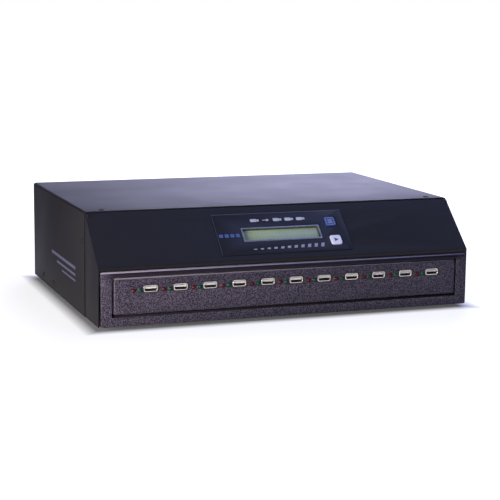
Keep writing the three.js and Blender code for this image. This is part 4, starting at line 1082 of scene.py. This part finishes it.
class DUPLICATOR_OT_sockets(DuplicatorOperator, bpy.types.Operator):
    """Makes the row of sockets: drawn shells, tongues and contacts"""

    bl_idname = "duplicator.sockets"
    bl_label = "Sockets"

    depth = 14 * MM
    cavity = 9.5 * MM
    corner = 1.5 * MM
    tongue = (11.1 * MM, 1.84 * MM)
    tongue_recess = 0.5 * MM
    tongue_drop = 0.7 * MM

    def execute(self, context):
        sizes = context.scene.duplicator_sockets
        mouth = Vector((FIRST_PORT.x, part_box("usb_port_01")[0].y, FIRST_PORT.z))
        on_panel = Vector((mouth.x, PANEL_LOW.y, mouth.z))
        nodes = [f"usb_port_{i + 1:02d}" for i in range(PORT_COUNT)]

        def shape(name, build, degrees=35):
            return mesh_of(lambda work: build(work, sizes), name, degrees=degrees)

        shell = shape("socket_shell", self.shell, 40)
        row_piece("socket_shells", shell, mouth, "nickel", nodes)
        tongue = with_edges_broken(shape("socket_tongue", self.insulator), 0.12 * MM)
        row_piece("socket_tongues", tongue, mouth, "ivory")
        row_piece("socket_contacts", shape("socket_contact", self.contacts), mouth, "gold")
        row_piece("socket_cores", shape("socket_core", self.core), mouth, "black")
        # The black rings round the sockets' lips are painted shadow
        row_piece("socket_gaps", shape("socket_painted_shadow", self.gap), on_panel, "black")
        return {"FINISHED"}

    def ring(self, sizes, inset, y):
        """The shell's outline, drawn in by inset, at a depth behind the mouth."""
        outline = rounded_rectangle(
            sizes.width - 2 * inset, sizes.height - 2 * inset, self.corner - min(inset, 0), 5
        )
        return [Vector((x, y, z)) for x, z in outline]

    def shell(self, work, sizes):
        """A drawn shell with a rolled lip, its back closed, and four leaf springs inside."""
        wall, flare = sizes.wall, sizes.flare
        crest, roll, inner_roll, bends = 0.2 * MM, 0.5 * MM, 0.2 * MM, 5
        rings = [self.ring(sizes, 0, self.depth), self.ring(sizes, 0, roll + wall)]
        for step in range(bends + 1):
            angle = math.pi / 2 * (1 - step / bends)
            inset = crest - (crest + flare) * math.sin(angle)
            rings.append(self.ring(sizes, inset, roll * (1 - math.cos(angle))))
        for step in range(1, bends + 1):
            angle = math.pi / 2 * step / bends
            inset = crest + (wall - crest) * math.sin(angle)
            rings.append(self.ring(sizes, inset, inner_roll * (1 - math.cos(angle))))
        rings.append(self.ring(sizes, wall, self.cavity))
        loft(work, rings)
        from_middle = 0.24 * sizes.width
        for x in (-from_middle, from_middle):
            for face in (-1, 1):
                self.leaf(work, sizes, x, face)

    def leaf(self, work, sizes, x, face):
        """A leaf spring that bows out of the shell's upper or lower wall."""
        half, bow, thick = 1.1 * MM, 0.45 * MM, 0.25 * MM
        start, end, steps = 2.2 * MM, 7.5 * MM, 8
        wall_z = sizes.height / 2 - sizes.wall
        rings = []
        for step in range(steps + 1):
            share = step / steps
            y = start + (end - start) * share
            z = wall_z - bow * math.sin(math.pi * share)
            corners = ((-half, z), (half, z), (half, z + thick), (-half, z + thick))
            rings.append([Vector((x + dx, y, face * dz)) for dx, dz in corners])
        loft(work, rings)

    def tongue_underside(self, sizes):
        return sizes.height / 2 - sizes.wall - self.tongue_drop - self.tongue[1]

    def insulator(self, work, sizes):
        """The contact tongue."""
        half, thick = self.tongue[0] / 2, self.tongue[1]
        underside = self.tongue_underside(sizes)
        cuboid(
            work, (-half, self.tongue_recess, underside), (half, self.cavity, underside + thick)
        )

    def core(self, work, sizes):
        """The black carrier under the tongue, and the block that closes the shell."""
        half, underside = self.tongue[0] / 2, self.tongue_underside(sizes)
        half_width, half_height = sizes.width / 2 - sizes.wall, sizes.height / 2 - sizes.wall
        layer, front, block, play = 0.08 * MM, 0.35 * MM, 1.5 * MM, 0.1 * MM
        cuboid(
            work, (-half, self.tongue_recess + front, underside - layer),
            (half, self.cavity, underside - layer / 4),
        )
        cuboid(
            work, (-half_width, self.cavity - block, -half_height),
            (half_width, self.cavity - play, underside - layer),
        )

    def gap(self, work, sizes):
        """A thin black ring round the lip, wider above and to the right: a painted shadow for the
        shade in the gap between the lip and the panel.
        """
        width, height = sizes.width + 2 * sizes.flare, sizes.height + 2 * sizes.flare
        shift, reach, thick, play = (0.4 * MM, 0.4 * MM), 0.8 * MM, 0.12 * MM, 0.1 * MM
        outer = rounded_rectangle(width + 2 * reach, height + 2 * reach, 2.6 * MM, 5, shift)
        inner = rounded_rectangle(width + play, height + play, 2.1 * MM, 5)
        rings = [
            [Vector((x, y, z)) for x, z in outline]
            for outline, y in ((outer, 0), (outer, -thick), (inner, -thick), (inner, 0))
        ]
        loft(work, rings, closed=True)

    def contacts(self, work, sizes):
        """Contact strips side by side under the tongue."""
        underside = self.tongue_underside(sizes)
        pitch, half, proud = 2.25 * MM, 0.5 * MM, 0.12 * MM
        from_tip, from_back = 0.8 * MM, 0.5 * MM
        for i in range(sizes.contacts):
            x = (i - (sizes.contacts - 1) / 2) * pitch
            cuboid(
                work, (x - half, self.tongue_recess + from_tip, underside - proud),
                (x + half, self.cavity - from_back, underside + proud / 2),
            )


class DUPLICATOR_OT_lamps(DuplicatorOperator, bpy.types.Operator):
    """Makes the red and green lamps with their legs"""

    bl_idname = "duplicator.lamps"
    bl_label = "Lamps"

    wall = 0.3 * MM
    rim_thickness = 1 * MM
    length = 5.3 * MM

    def execute(self, context):
        low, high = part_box("red_led_01")
        self.rim = (high.x - low.x) / 2
        self.radius = self.rim - self.wall
        lens = mesh_of(self.lens, "lamp_lens")
        legs = mesh_of(self.legs, "lamp_legs")
        bezel = mesh_of(self.bezel, "lamp_bezel")
        for colour in ("red", "green"):
            nodes = [f"{colour}_led_{i + 1:02d}" for i in range(PORT_COUNT)]
            low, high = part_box(nodes[0])
            tip = Vector(((low.x + high.x) / 2, low.y, high.z - self.rim))
            on_panel = Vector((tip.x, PANEL_LOW.y, tip.z))
            row_piece(f"{colour}_lamps", lens, tip, colour, nodes)
            row_piece(f"{colour}_lamp_legs", legs, tip, "zinc")
            row_piece(f"{colour}_lamp_bezels", bezel, on_panel, colour)
        return {"FINISHED"}

    def bezel(self, work):
        """The lens's own thin collar, on the panel's face."""
        inner, outer = self.radius + 0.05 * MM, self.radius + 0.5 * MM
        proud, fillet = 0.3 * MM, 0.15 * MM
        section = [(inner, 0), (inner, proud), (outer - fillet, proud)]
        section += [(outer, proud - fillet), (outer, 0)]
        loft(work, [
            [Vector((x, -height, z)) for x, z in circle(radius, 28)] for radius, height in section
        ], closed=True)

    def lens(self, work):
        """A round-nosed lens whose tip is at the origin and points to -y."""
        seat = self.length - self.rim_thickness
        profile = rounded_edge(self.radius, self.radius, 8) + [
            (self.radius, seat), (self.rim, seat), (self.rim, self.length), (0, self.length),
        ]
        lathe(work, profile, 24, Matrix.Rotation(-math.pi / 2, 4, "X"))

    def legs(self, work):
        """Two square legs that run back and then down."""
        half, spacing, run, drop = 0.25 * MM, 1.27 * MM, 2 * MM, 1.6 * MM
        back = self.length + run
        for x in (-spacing, spacing):
            cuboid(work, (x - half, self.length - half, -half), (x + half, back, half))
            cuboid(work, (x - half, back - 2 * half, -drop), (x + half, back, -half))


class DUPLICATOR_OT_display(DuplicatorOperator, bpy.types.Operator):
    """Dresses the film, the display and its frame, prints plain marks on the film, and paints
    highlights along the film's upper and left edges
    """

    bl_idname = "duplicator.display"
    bl_label = "Display"

    ink = 0.04 * MM
    lift = 0.01 * MM

    def execute(self, context):
        dress("panel_overlay", ["film"], 0.16 * MM)
        dress("lcd_frame", ["frame_metal"], 0.15 * MM, segments=3)
        dress("lcd_screen", ["glass"], 0.1 * MM)
        self.print_on_film("drive_marks", "white_ink", self.drive_marks)
        self.print_on_film("square_marks", "blue_ink", self.square_marks)
        self.print_on_film("bar_marks", "silver_ink", self.bar_marks)
        # The paler line on the film's upper and left edges is a painted highlight
        self.print_on_film("film_outline", "dark_ink", self.edge_highlight_marks)
        self.side_stripes()
        return {"FINISHED"}

    def print_on_film(self, name, finish, build):
        base = FILM_TOP + self.lift
        mesh = mesh_of(lambda work: build(work, base, base + self.ink), name, SLOPE)
        link_piece(name, mesh, "panel_overlay", finish)

    def drive_marks(self, work, low, high):
        """One drive, an arrow and three drives, in a row above the display."""
        height, start, first_copy, pitch = 48.9 * MM, -30.5 * MM, 24.5 * MM, 12.6 * MM

        def block(x, size, corner, steps):
            outline = rounded_rectangle(*size, corner, steps, (x, height))
            plate(work, outline, low, high)

        def drive(x):
            block(x + 3.3 * MM, (6.6 * MM, 3.8 * MM), 0.8 * MM, 4)
            block(x + 8 * MM, (2.2 * MM, 2.6 * MM), 0.1 * MM, 1)

        drive(start)
        block(start + 15.2 * MM, (4.4 * MM, 0.9 * MM), 0.1 * MM, 1)
        tip, long, half = start + 20.4 * MM, 3 * MM, 1.7 * MM
        head = [(tip - long, height - half), (tip, height), (tip - long, height + half)]
        plate(work, head, low, high)
        for i in range(3):
            drive(start + first_copy + pitch * i)

    def square_marks(self, work, low, high):
        """Four plain squares left of the display."""
        first, height, side, pitch = -65.6 * MM, 31 * MM, 4.2 * MM, 5.9 * MM
        for i in range(4):
            outline = rounded_rectangle(side, side, 0.7 * MM, 3, (first + i * pitch, height))
            plate(work, outline, low, high)

    def bar_marks(self, work, low, high):
        """Slanted bars under the display, one for each socket, rising to the right."""
        pitch, width, base = 7.2 * MM, 3.4 * MM, 12.2 * MM
        first_height, growth, lean = 1.2 * MM, 0.34 * MM, 1.6 / 4.6
        for i in range(PORT_COUNT):
            left = (i - (PORT_COUNT - 1) / 2) * pitch
            right, tall = left + width, first_height + growth * i
            shift, top = lean * tall, base + tall
            outline = [(left, base), (right, base), (right + shift, top), (left + shift, top)]
            plate(work, outline, low, high)

    def edge_highlight_marks(self, work, low, high):
        """A thin paler line along the film's upper and left edges: a painted highlight for the
        light those edges catch.
        """
        film_low, film_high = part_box("panel_overlay")
        lean = FILM_TOP * math.sin(SLOPE_ANGLE)
        start = (film_low.y + lean - HOOD_LOW.y) / math.cos(SLOPE_ANGLE)
        end = (film_high.y - HOOD_LOW.y) / math.cos(SLOPE_ANGLE)
        inset, line, side_line = 0.3 * MM, 0.6 * MM, 0.35 * MM
        left, right = film_low.x + inset, film_high.x - inset
        top, bottom = end - inset, start + inset
        for x, across, s, along in (
            (left, right - left, top - line, line), (left, side_line, bottom, top - line - bottom),
        ):
            outline = [(x, s), (x + across, s), (x + across, s + along), (x, s + along)]
            plate(work, outline, low, high)

    def side_stripes(self):
        """Three plain stripes on the left side of the cover."""
        x = COVER_LOW.x - COVER_STEP - self.lift
        # Middle height, width, and both ends' distance behind the hood's front, in millimetres
        stripes = ((46, 3.2, 88, 196), (39, 2.4, 88, 172), (33, 1.8, 88, 148))

        def build(work):
            for z, wide, front, rear in stripes:
                low = (x - self.ink, HOOD_LOW.y + front * MM, (z - wide / 2) * MM)
                high = (x, HOOD_LOW.y + rear * MM, (z + wide / 2) * MM)
                cuboid(work, low, high)

        link_piece("side_stripes", mesh_of(build, "side_stripes"), "top_cover", "dark_ink")


class DUPLICATOR_OT_keys(DuplicatorOperator, bpy.types.Operator):
    """Makes the two keys with their printed outline and marks"""

    bl_idname = "duplicator.keys"
    bl_label = "Keys"

    size = 11.6 * MM
    corner = 2.2 * MM
    top = 1.6 * MM
    flange = (13.2 * MM, -1.5 * MM, -2.5 * MM)
    stem = (1.5 * MM, -3.4 * MM)

    def execute(self, context):
        for node, finish in (("set_button", "blue_key"), ("run_button", "white_key")):
            cap = mesh_of(self.keycap, node + "_cap", self.place_of(node), 50)
            stand_in(node + "_cap", cap, node, finish)
        self.print_on_key("set_button", "set_button_marks", "silver_ink", self.set_marks)
        self.print_on_key("run_button", "run_button_mark", "dark_ink", self.run_mark)
        return {"FINISHED"}

    def place_of(self, node):
        return SLOPE @ Matrix.Translation((KEY_X, KEY_S[node], 0))

    def keycap(self, work):
        """A square cap with rounded upper edges and a shallow dish, its flange and its stem."""
        def level(width, z, corner):
            return [Vector((x, y, z)) for x, y in rounded_rectangle(width, width, corner, 6)]

        wide, flange_top, flange_bottom = self.flange
        stem_radius, stem_end = self.stem
        fillet, steps, dish = 0.7 * MM, 5, 0.16 * MM
        rings = [level(wide, flange_bottom, self.corner), level(wide, flange_top, self.corner)]
        rings.append(level(self.size, flange_top, self.corner))
        for step in range(steps + 1):
            angle = math.pi / 2 * step / steps
            inset = fillet * (1 - math.cos(angle))
            z = self.top - fillet * (1 - math.sin(angle))
            rings.append(level(self.size - 2 * inset, z, self.corner - inset))
        flat, flat_corner = self.size - 2 * fillet, self.corner - fillet
        for share in (0.75, 0.45, 0.15):
            z = self.top - dish * (1 - share * share)
            rings.append(level(flat * share, z, flat_corner * share))
        loft(work, rings)
        stem = [(0, stem_end), (stem_radius, stem_end)]
        lathe(work, stem + [(stem_radius, flange_bottom), (0, flange_bottom)], 20)

    def print_on_key(self, node, name, finish, build):
        link_piece(name, mesh_of(build, name, self.place_of(node)), node, finish)

    def set_marks(self, work):
        """A thin outline round the top and three short lines."""
        base, ink = self.top - 0.02 * MM, 0.06 * MM
        outer, inner, corner = 9.4 * MM, 8.9 * MM, 1.5 * MM
        loft(work, [
            [Vector((x, y, z)) for x, y in rounded_rectangle(width, width, corner, 5)]
            for width, z in ((outer, base), (outer, base + ink), (inner, base + ink), (inner, base))
        ], closed=True)
        half, half_line, pitch = 2.2 * MM, 0.35 * MM, 1.7 * MM
        foot, face = base - 0.1 * MM, base + 0.01 * MM
        for y in (-pitch, 0, pitch):
            cuboid(work, (-half, y - half_line, foot), (half, y + half_line, face))

    def run_mark(self, work):
        """A plain triangle that points right."""
        base, ink = self.top - 0.2 * MM, 0.14 * MM
        outline = [(-1.8 * MM, -2.2 * MM), (2.4 * MM, 0), (-1.8 * MM, 2.2 * MM)]
        plate(work, outline, base, base + ink)


class DUPLICATOR_OT_rear(DuplicatorOperator, bpy.types.Operator):
    """Dresses the fan, its guard, the mains inlet and the power switch"""

    bl_idname = "duplicator.rear"
    bl_label = "Rear"

    def execute(self, context):
        dress("fan_frame", ["black"], 0.3 * MM)
        self.rotor()
        self.guard()
        self.inlet()
        tabs = self.tabs_of("switch_housing", 6 * MM)
        dress("switch_housing", ["black", "zinc"], 0.2 * MM, [tabs])
        self.rocker()
        return {"FINISHED"}

    def tabs_of(self, node, length):
        """The region of a fitting's metal tabs, which reach into the case."""
        return 1, -BEYOND, Vector((BEYOND.x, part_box(node)[0].y + length, BEYOND.z))

    def rotor(self):
        """The cup, its shaft and seven twisted blades."""
        low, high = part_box("fan_rotor")
        hub, wall, depth, shaft, fillet = 17.5 * MM, 1.8 * MM, 18 * MM, 1.5 * MM, 1.2 * MM
        tip, thick, blades, slices = 36.8 * MM, 1.7 * MM, 7, 10
        root_chord, tip_chord, camber_share = 16 * MM, 26 * MM, 0.06
        root_pitch, tip_pitch = math.radians(48), math.radians(30)
        upright = Matrix.Rotation(-math.pi / 2, 4, "X")

        def section(share, turn):
            """A blade's oval section, wrapped round the axis at a share of the way to the tip."""
            radius = hub - wall / 2 + (tip - hub + wall / 2) * share
            chord = root_chord + (tip_chord - root_chord) * share
            pitch = root_pitch + (tip_pitch - root_pitch) * share
            points = []
            for x, y in circle(1.0, 20):
                along, through = chord / 2 * x, thick / 2 * y
                raised = through + camber_share * chord * (1 - (2 * along / chord) ** 2)
                across = along * math.cos(pitch) - raised * math.sin(pitch)
                back = depth / 2 + along * math.sin(pitch) + raised * math.cos(pitch)
                around = turn + across / radius
                points.append(Vector((radius * math.cos(around), back, radius * math.sin(around))))
            return points

        def build(work):
            cup = [(0, 0), *rounded_edge(hub, fillet, 5)]
            cup += [(hub, depth), (hub - wall, depth), (hub - wall, wall), (0, wall)]
            lathe(work, cup, 64, upright)
            end = high.y - low.y
            lathe(work, [(0, wall / 2), (shaft, wall / 2), (shaft, end), (0, end)], 20, upright)
            for i in range(blades):
                turn = 2 * math.pi * i / blades
                loft(work, [section(step / slices, turn) for step in range(slices + 1)])

        centre = middle_of("fan_frame")
        place = Matrix.Translation((centre.x, low.y, centre.z))
        mesh = mesh_of(build, "fan_rotor_blades", place, 40)
        stand_in("fan_rotor_blades", mesh, "fan_rotor", "black")

    def guard(self):
        """The finger guard, with its wires' backs on the fan frame's face."""
        centre = middle_of("fan_frame")
        wire_radius = 0.8 * MM
        place = Vector((centre.x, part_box("fan_grille")[0].y + wire_radius, centre.z))
        mesh = grow("guard", {
            "Place": place, "Wire radius": wire_radius, "Finish": FINISH["nickel"],
        })
        smooth(mesh, 50)
        stand_in("finger_guard", mesh, "fan_grille", None)

    def inlet(self):
        """The inlet's plastic body, with its three pins and rear tabs in plated metal."""
        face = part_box("power_inlet")[1].y
        centre = middle_of("power_inlet")
        half, pin_end, pin_start = Vector((1.05 * MM, 0, 2.05 * MM)), 4.9 * MM, 16.9 * MM
        regions = []
        # The pins stand 14 mm apart, with the earth pin above and between them
        for dx, dz in ((-7, -2), (7, -2), (0, 2)):
            low = Vector((centre.x + dx * MM, face - pin_start, centre.z + dz * MM)) - half
            high = Vector((centre.x + dx * MM, face - pin_end, centre.z + dz * MM)) + half
            regions.append((1, low, high))
        regions.append(self.tabs_of("power_inlet", 6.9 * MM))
        dress("power_inlet", ["black", "nickel"], 0.25 * MM, regions)

    def rocker(self):
        """The rocker, with a ring on its upper end and a line on its lower end."""
        dress("switch_rocker", ["black"], 0.35 * MM, segments=3)
        tilt, reach, rise, pivot_depth = math.radians(11), 5 * MM, 3.2 * MM, 2.2 * MM
        pivot = Vector((
            middle_of("switch_rocker").x,
            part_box("switch_housing")[1].y - pivot_depth,
            middle_of("switch_housing").z,
        ))
        turn = Matrix.Translation(pivot) @ Matrix.Rotation(tilt, 4, "X")
        outer, inner, half_line, half_long = 1.7 * MM, 1.15 * MM, 0.3 * MM, 1.8 * MM
        sunk, thick = 0.35 * MM, 0.5 * MM

        def marks(work):
            y = rise + reach * math.tan(tilt) - sunk
            loft(work, [
                [Vector((x, y + depth, reach + z)) for x, z in circle(radius, 32)]
                for radius, depth in ((outer, 0), (outer, thick), (inner, thick), (inner, 0))
            ], closed=True)
            cuboid(
                work, (-half_line, y, -reach - half_long),
                (half_line, y + thick, -reach + half_long),
            )

        mesh = mesh_of(marks, "rocker_marks", turn)
        link_piece("rocker_marks", mesh, "switch_rocker", "white_ink")


class DUPLICATOR_OT_inside(DuplicatorOperator, bpy.types.Operator):
    """Dresses the boards, the supply and the cables inside, and the feet below"""

    bl_idname = "duplicator.inside"
    bl_label = "Inside and feet"

    def execute(self, context):
        board_finishes = ["board", "black", "aluminium", "ivory"]
        for node, regions in (
            ("port_board", self.port_regions()), ("controller_board", self.controller_regions()),
        ):
            dress(node, board_finishes, 0.12 * MM, regions)
        for node in ("lcd_board", "keypad_board"):
            dress(node, ["board"], 0.12 * MM)
        dress("display_cable", ["ribbon"], 0.1 * MM)
        dress("power_supply", ["zinc"], 0.25 * MM)
        dress("power_harness", ["sheath"], 0.2 * MM)
        self.feet()
        return {"FINISHED"}

    def port_regions(self):
        """A box round what stands on the socket board."""
        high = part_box("port_board")[1]
        return [(1, Vector((-BEYOND.x, -BEYOND.y, high.z - 1.4 * MM)), BEYOND)]

    def controller_regions(self):
        """Boxes round the chips, the heat sink and the headers, above the board's upper face."""
        low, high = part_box("controller_board")
        centre = middle_of("controller_board")
        half_sink, header_depth = 20.2 * MM, 16 * MM
        chips, sink = low.z + 9.8 * MM, low.z + 9.9 * MM
        return [
            (1, Vector((low.x, low.y, chips)), Vector((high.x, high.y, BEYOND.z))),
            (2, Vector((centre.x - half_sink, centre.y - half_sink, sink)),
             Vector((centre.x + half_sink, centre.y + half_sink, BEYOND.z))),
            (3, Vector((low.x, low.y, chips)), Vector((high.x, low.y + header_depth, BEYOND.z))),
        ]

    def feet(self):
        """Four turned feet, each with a screw's bore in its sole."""
        sole, bore, bore_depth, bore_rim = 9 * MM, 4 * MM, 2 * MM, 0.25 * MM
        for node in ("foot_front_left", "foot_front_right", "foot_rear_left", "foot_rear_right"):
            low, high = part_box(node)
            centre = middle_of(node)
            profile = [
                (0, bore_depth), (bore, bore_depth), (bore, bore_rim), (bore + bore_rim, 0),
                *rounded_edge(sole, 0.6 * MM, 4),
                ((high.x - low.x) / 2, high.z - low.z), (0, high.z - low.z),
            ]
            mesh = mesh_of(
                lambda work: lathe(work, profile, 48), node + "_turned",
                Matrix.Translation((centre.x, centre.y, low.z)), 40,
            )
            stand_in(node + "_turned", mesh, node, "rubber")


class DUPLICATOR_OT_fasteners(DuplicatorOperator, bpy.types.Operator):
    """Puts the screws into cover, guard, inlet and floor"""

    bl_idname = "duplicator.fasteners"
    bl_label = "Fasteners"

    def execute(self, context):
        sizes = context.scene.duplicator_fasteners
        low_share = 0.55
        pan_head = mesh_of(self.pan_head, "pan_head", degrees=40)
        low_head = pan_head.copy()
        low_head.transform(Matrix.Scale(low_share, 4, (0, 0, 1)))
        self.scatter("case_screws", low_head, self.case_places(), sizes.case_head, "coat")
        self.scatter("rear_screws", pan_head, self.rear_places(), sizes.small_head, "nickel")
        self.scatter("floor_screws", pan_head, self.floor_places(), sizes.small_head, "zinc")
        return {"FINISHED"}

    def pan_head(self, work):
        """A domed head one unit across with a cross recess, seated at z = 0."""
        dome = ((0.5, 0.0), (0.5, 0.12), (0.47, 0.22), (0.4, 0.29), (0.32, 0.325))
        crown, bottom, taper = 0.335, 0.17, 0.75
        half_arm, reach = 0.085, 0.26
        loops = loft(work, [
            [Vector((x, y, height)) for x, y in circle(radius, 48)] for radius, height in dome
        ], capped=(0,))
        cross = []
        for sx, sy in ((1, 1), (-1, 1), (-1, -1), (1, -1)):
            ends = [(reach, half_arm), (half_arm, half_arm), (half_arm, reach)]
            if sx * sy < 0:
                ends.reverse()
            cross += [(sx * x, sy * y) for x, y in ends]
        rim = [work.verts.new((x, y, crown)) for x, y in cross]
        floor = [work.verts.new((taper * x, taper * y, bottom)) for x, y in cross]
        for i in range(len(cross)):
            j = (i + 1) % len(cross)
            work.faces.new((rim[i], rim[j], floor[j], floor[i]))
        work.faces.new(floor)
        edges = [
            work.edges.get(pair)
            for loop in (loops[-1], rim) for pair in zip(loop, loop[1:] + loop[:1])
        ]
        bmesh.ops.triangle_fill(work, edges=edges, use_beauty=True)

    def scatter(self, name, head, places, diameter, finish):
        """One piece of screw heads; places holds each one's point and direction."""
        base = bpy.data.meshes.new(name + "_places")
        base.from_pydata([point for point, _ in places], [], [])
        facing = base.attributes.new("facing", "FLOAT_VECTOR", "POINT")
        for i, (_, direction) in enumerate(places):
            facing.data[i].vector = direction
        shape = bpy.data.objects.new(name + "_shape", head)
        bpy.context.scene.collection.objects.link(shape)
        mesh = grow("fasteners", {
            "Shape": shape, "Head diameter": diameter, "Finish": FINISH[finish],
        }, base)
        bpy.data.objects.remove(shape)
        for attribute in [a for a in mesh.attributes if a.name == "facing"]:
            mesh.attributes.remove(attribute)
        link_piece(name, mesh, "top_cover")

    def case_places(self):
        """Screws through the cover: two on top, three on each side."""
        top_x, from_edge = 177 * MM, 7.4 * MM
        # Distance behind the hood's front, and height
        side_screws = ((239 * MM, 12.4 * MM), (189 * MM, 12.4 * MM), (59 * MM, 78.6 * MM))
        places = []
        for side in (-1, 1):
            on_top = Vector((side * top_x, COVER_LOW.y + from_edge, COVER_HIGH.z))
            places.append((on_top, (0, 0, 1)))
            for back, z in side_screws:
                at = Vector((side * (COVER_HIGH.x + COVER_STEP), HOOD_LOW.y + back, z))
                places.append((at, (side, 0, 0)))
        return places

    def rear_places(self):
        """Screws in the guard's eyes and the inlet's flange."""
        fan, inlet = middle_of("fan_frame"), middle_of("power_inlet")
        eye_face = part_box("fan_grille")[0].y + 1.6 * MM
        flange_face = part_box("power_inlet")[1].y
        half, flange_half = FAN_SCREW_PITCH / 2, 20 * MM
        points = [
            (fan.x + dx, eye_face, fan.z + dz) for dx in (-half, half) for dz in (-half, half)
        ]
        points += [(inlet.x + dx, flange_face, inlet.z) for dx in (-flange_half, flange_half)]
        return [(Vector(point), (0, 1, 0)) for point in points]

    def floor_places(self):
        """Screws from below into the controller's posts and the supply."""
        places = []
        for node, inset in (("controller_board", 6 * MM), ("power_supply", 12 * MM)):
            low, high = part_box(node)
            for x in (low.x + inset, high.x - inset):
                for y in (low.y + inset, high.y - inset):
                    places.append((Vector((x, y, PAN_UNDERSIDE)), (0, 0, -1)))
        return places


OPERATORS = (
    DUPLICATOR_OT_finishes, DUPLICATOR_OT_case, DUPLICATOR_OT_sockets, DUPLICATOR_OT_lamps,
    DUPLICATOR_OT_display, DUPLICATOR_OT_keys, DUPLICATOR_OT_rear, DUPLICATOR_OT_inside,
    DUPLICATOR_OT_fasteners, DUPLICATOR_OT_stage,
)
SETTINGS = {
    "duplicator_finish": FinishSettings,
    "duplicator_sockets": SocketSettings,
    "duplicator_fasteners": FastenerSettings,
    "duplicator_stage": StageSettings,
}


class DUPLICATOR_PT_panel(bpy.types.Panel):
    """Lists the steps and their settings"""

    bl_idname = "DUPLICATOR_PT_panel"
    bl_label = "Flash Drive Duplicator"
    bl_space_type = "VIEW_3D"
    bl_region_type = "UI"
    bl_category = "Duplicator"

    def draw(self, context):
        for operator in OPERATORS:
            self.layout.operator(operator.bl_idname)
        for name, group in SETTINGS.items():
            box = self.layout.box()
            for key in group.__annotations__:
                box.prop(getattr(context.scene, name), key)


def register():
    for group in SETTINGS.values():
        bpy.utils.register_class(group)
    for name, group in SETTINGS.items():
        setattr(bpy.types.Scene, name, PointerProperty(type=group))
    for operator in (*OPERATORS, DUPLICATOR_PT_panel):
        bpy.utils.register_class(operator)


def unregister():
    for operator in reversed((*OPERATORS, DUPLICATOR_PT_panel)):
        bpy.utils.unregister_class(operator)
    for name, group in SETTINGS.items():
        delattr(bpy.types.Scene, name)
        bpy.utils.unregister_class(group)


def main():
    register()
    for operator in OPERATORS:
        group, name = operator.bl_idname.split(".")
        getattr(getattr(bpy.ops, group), name)()


if __name__ == "__main__":
    main()
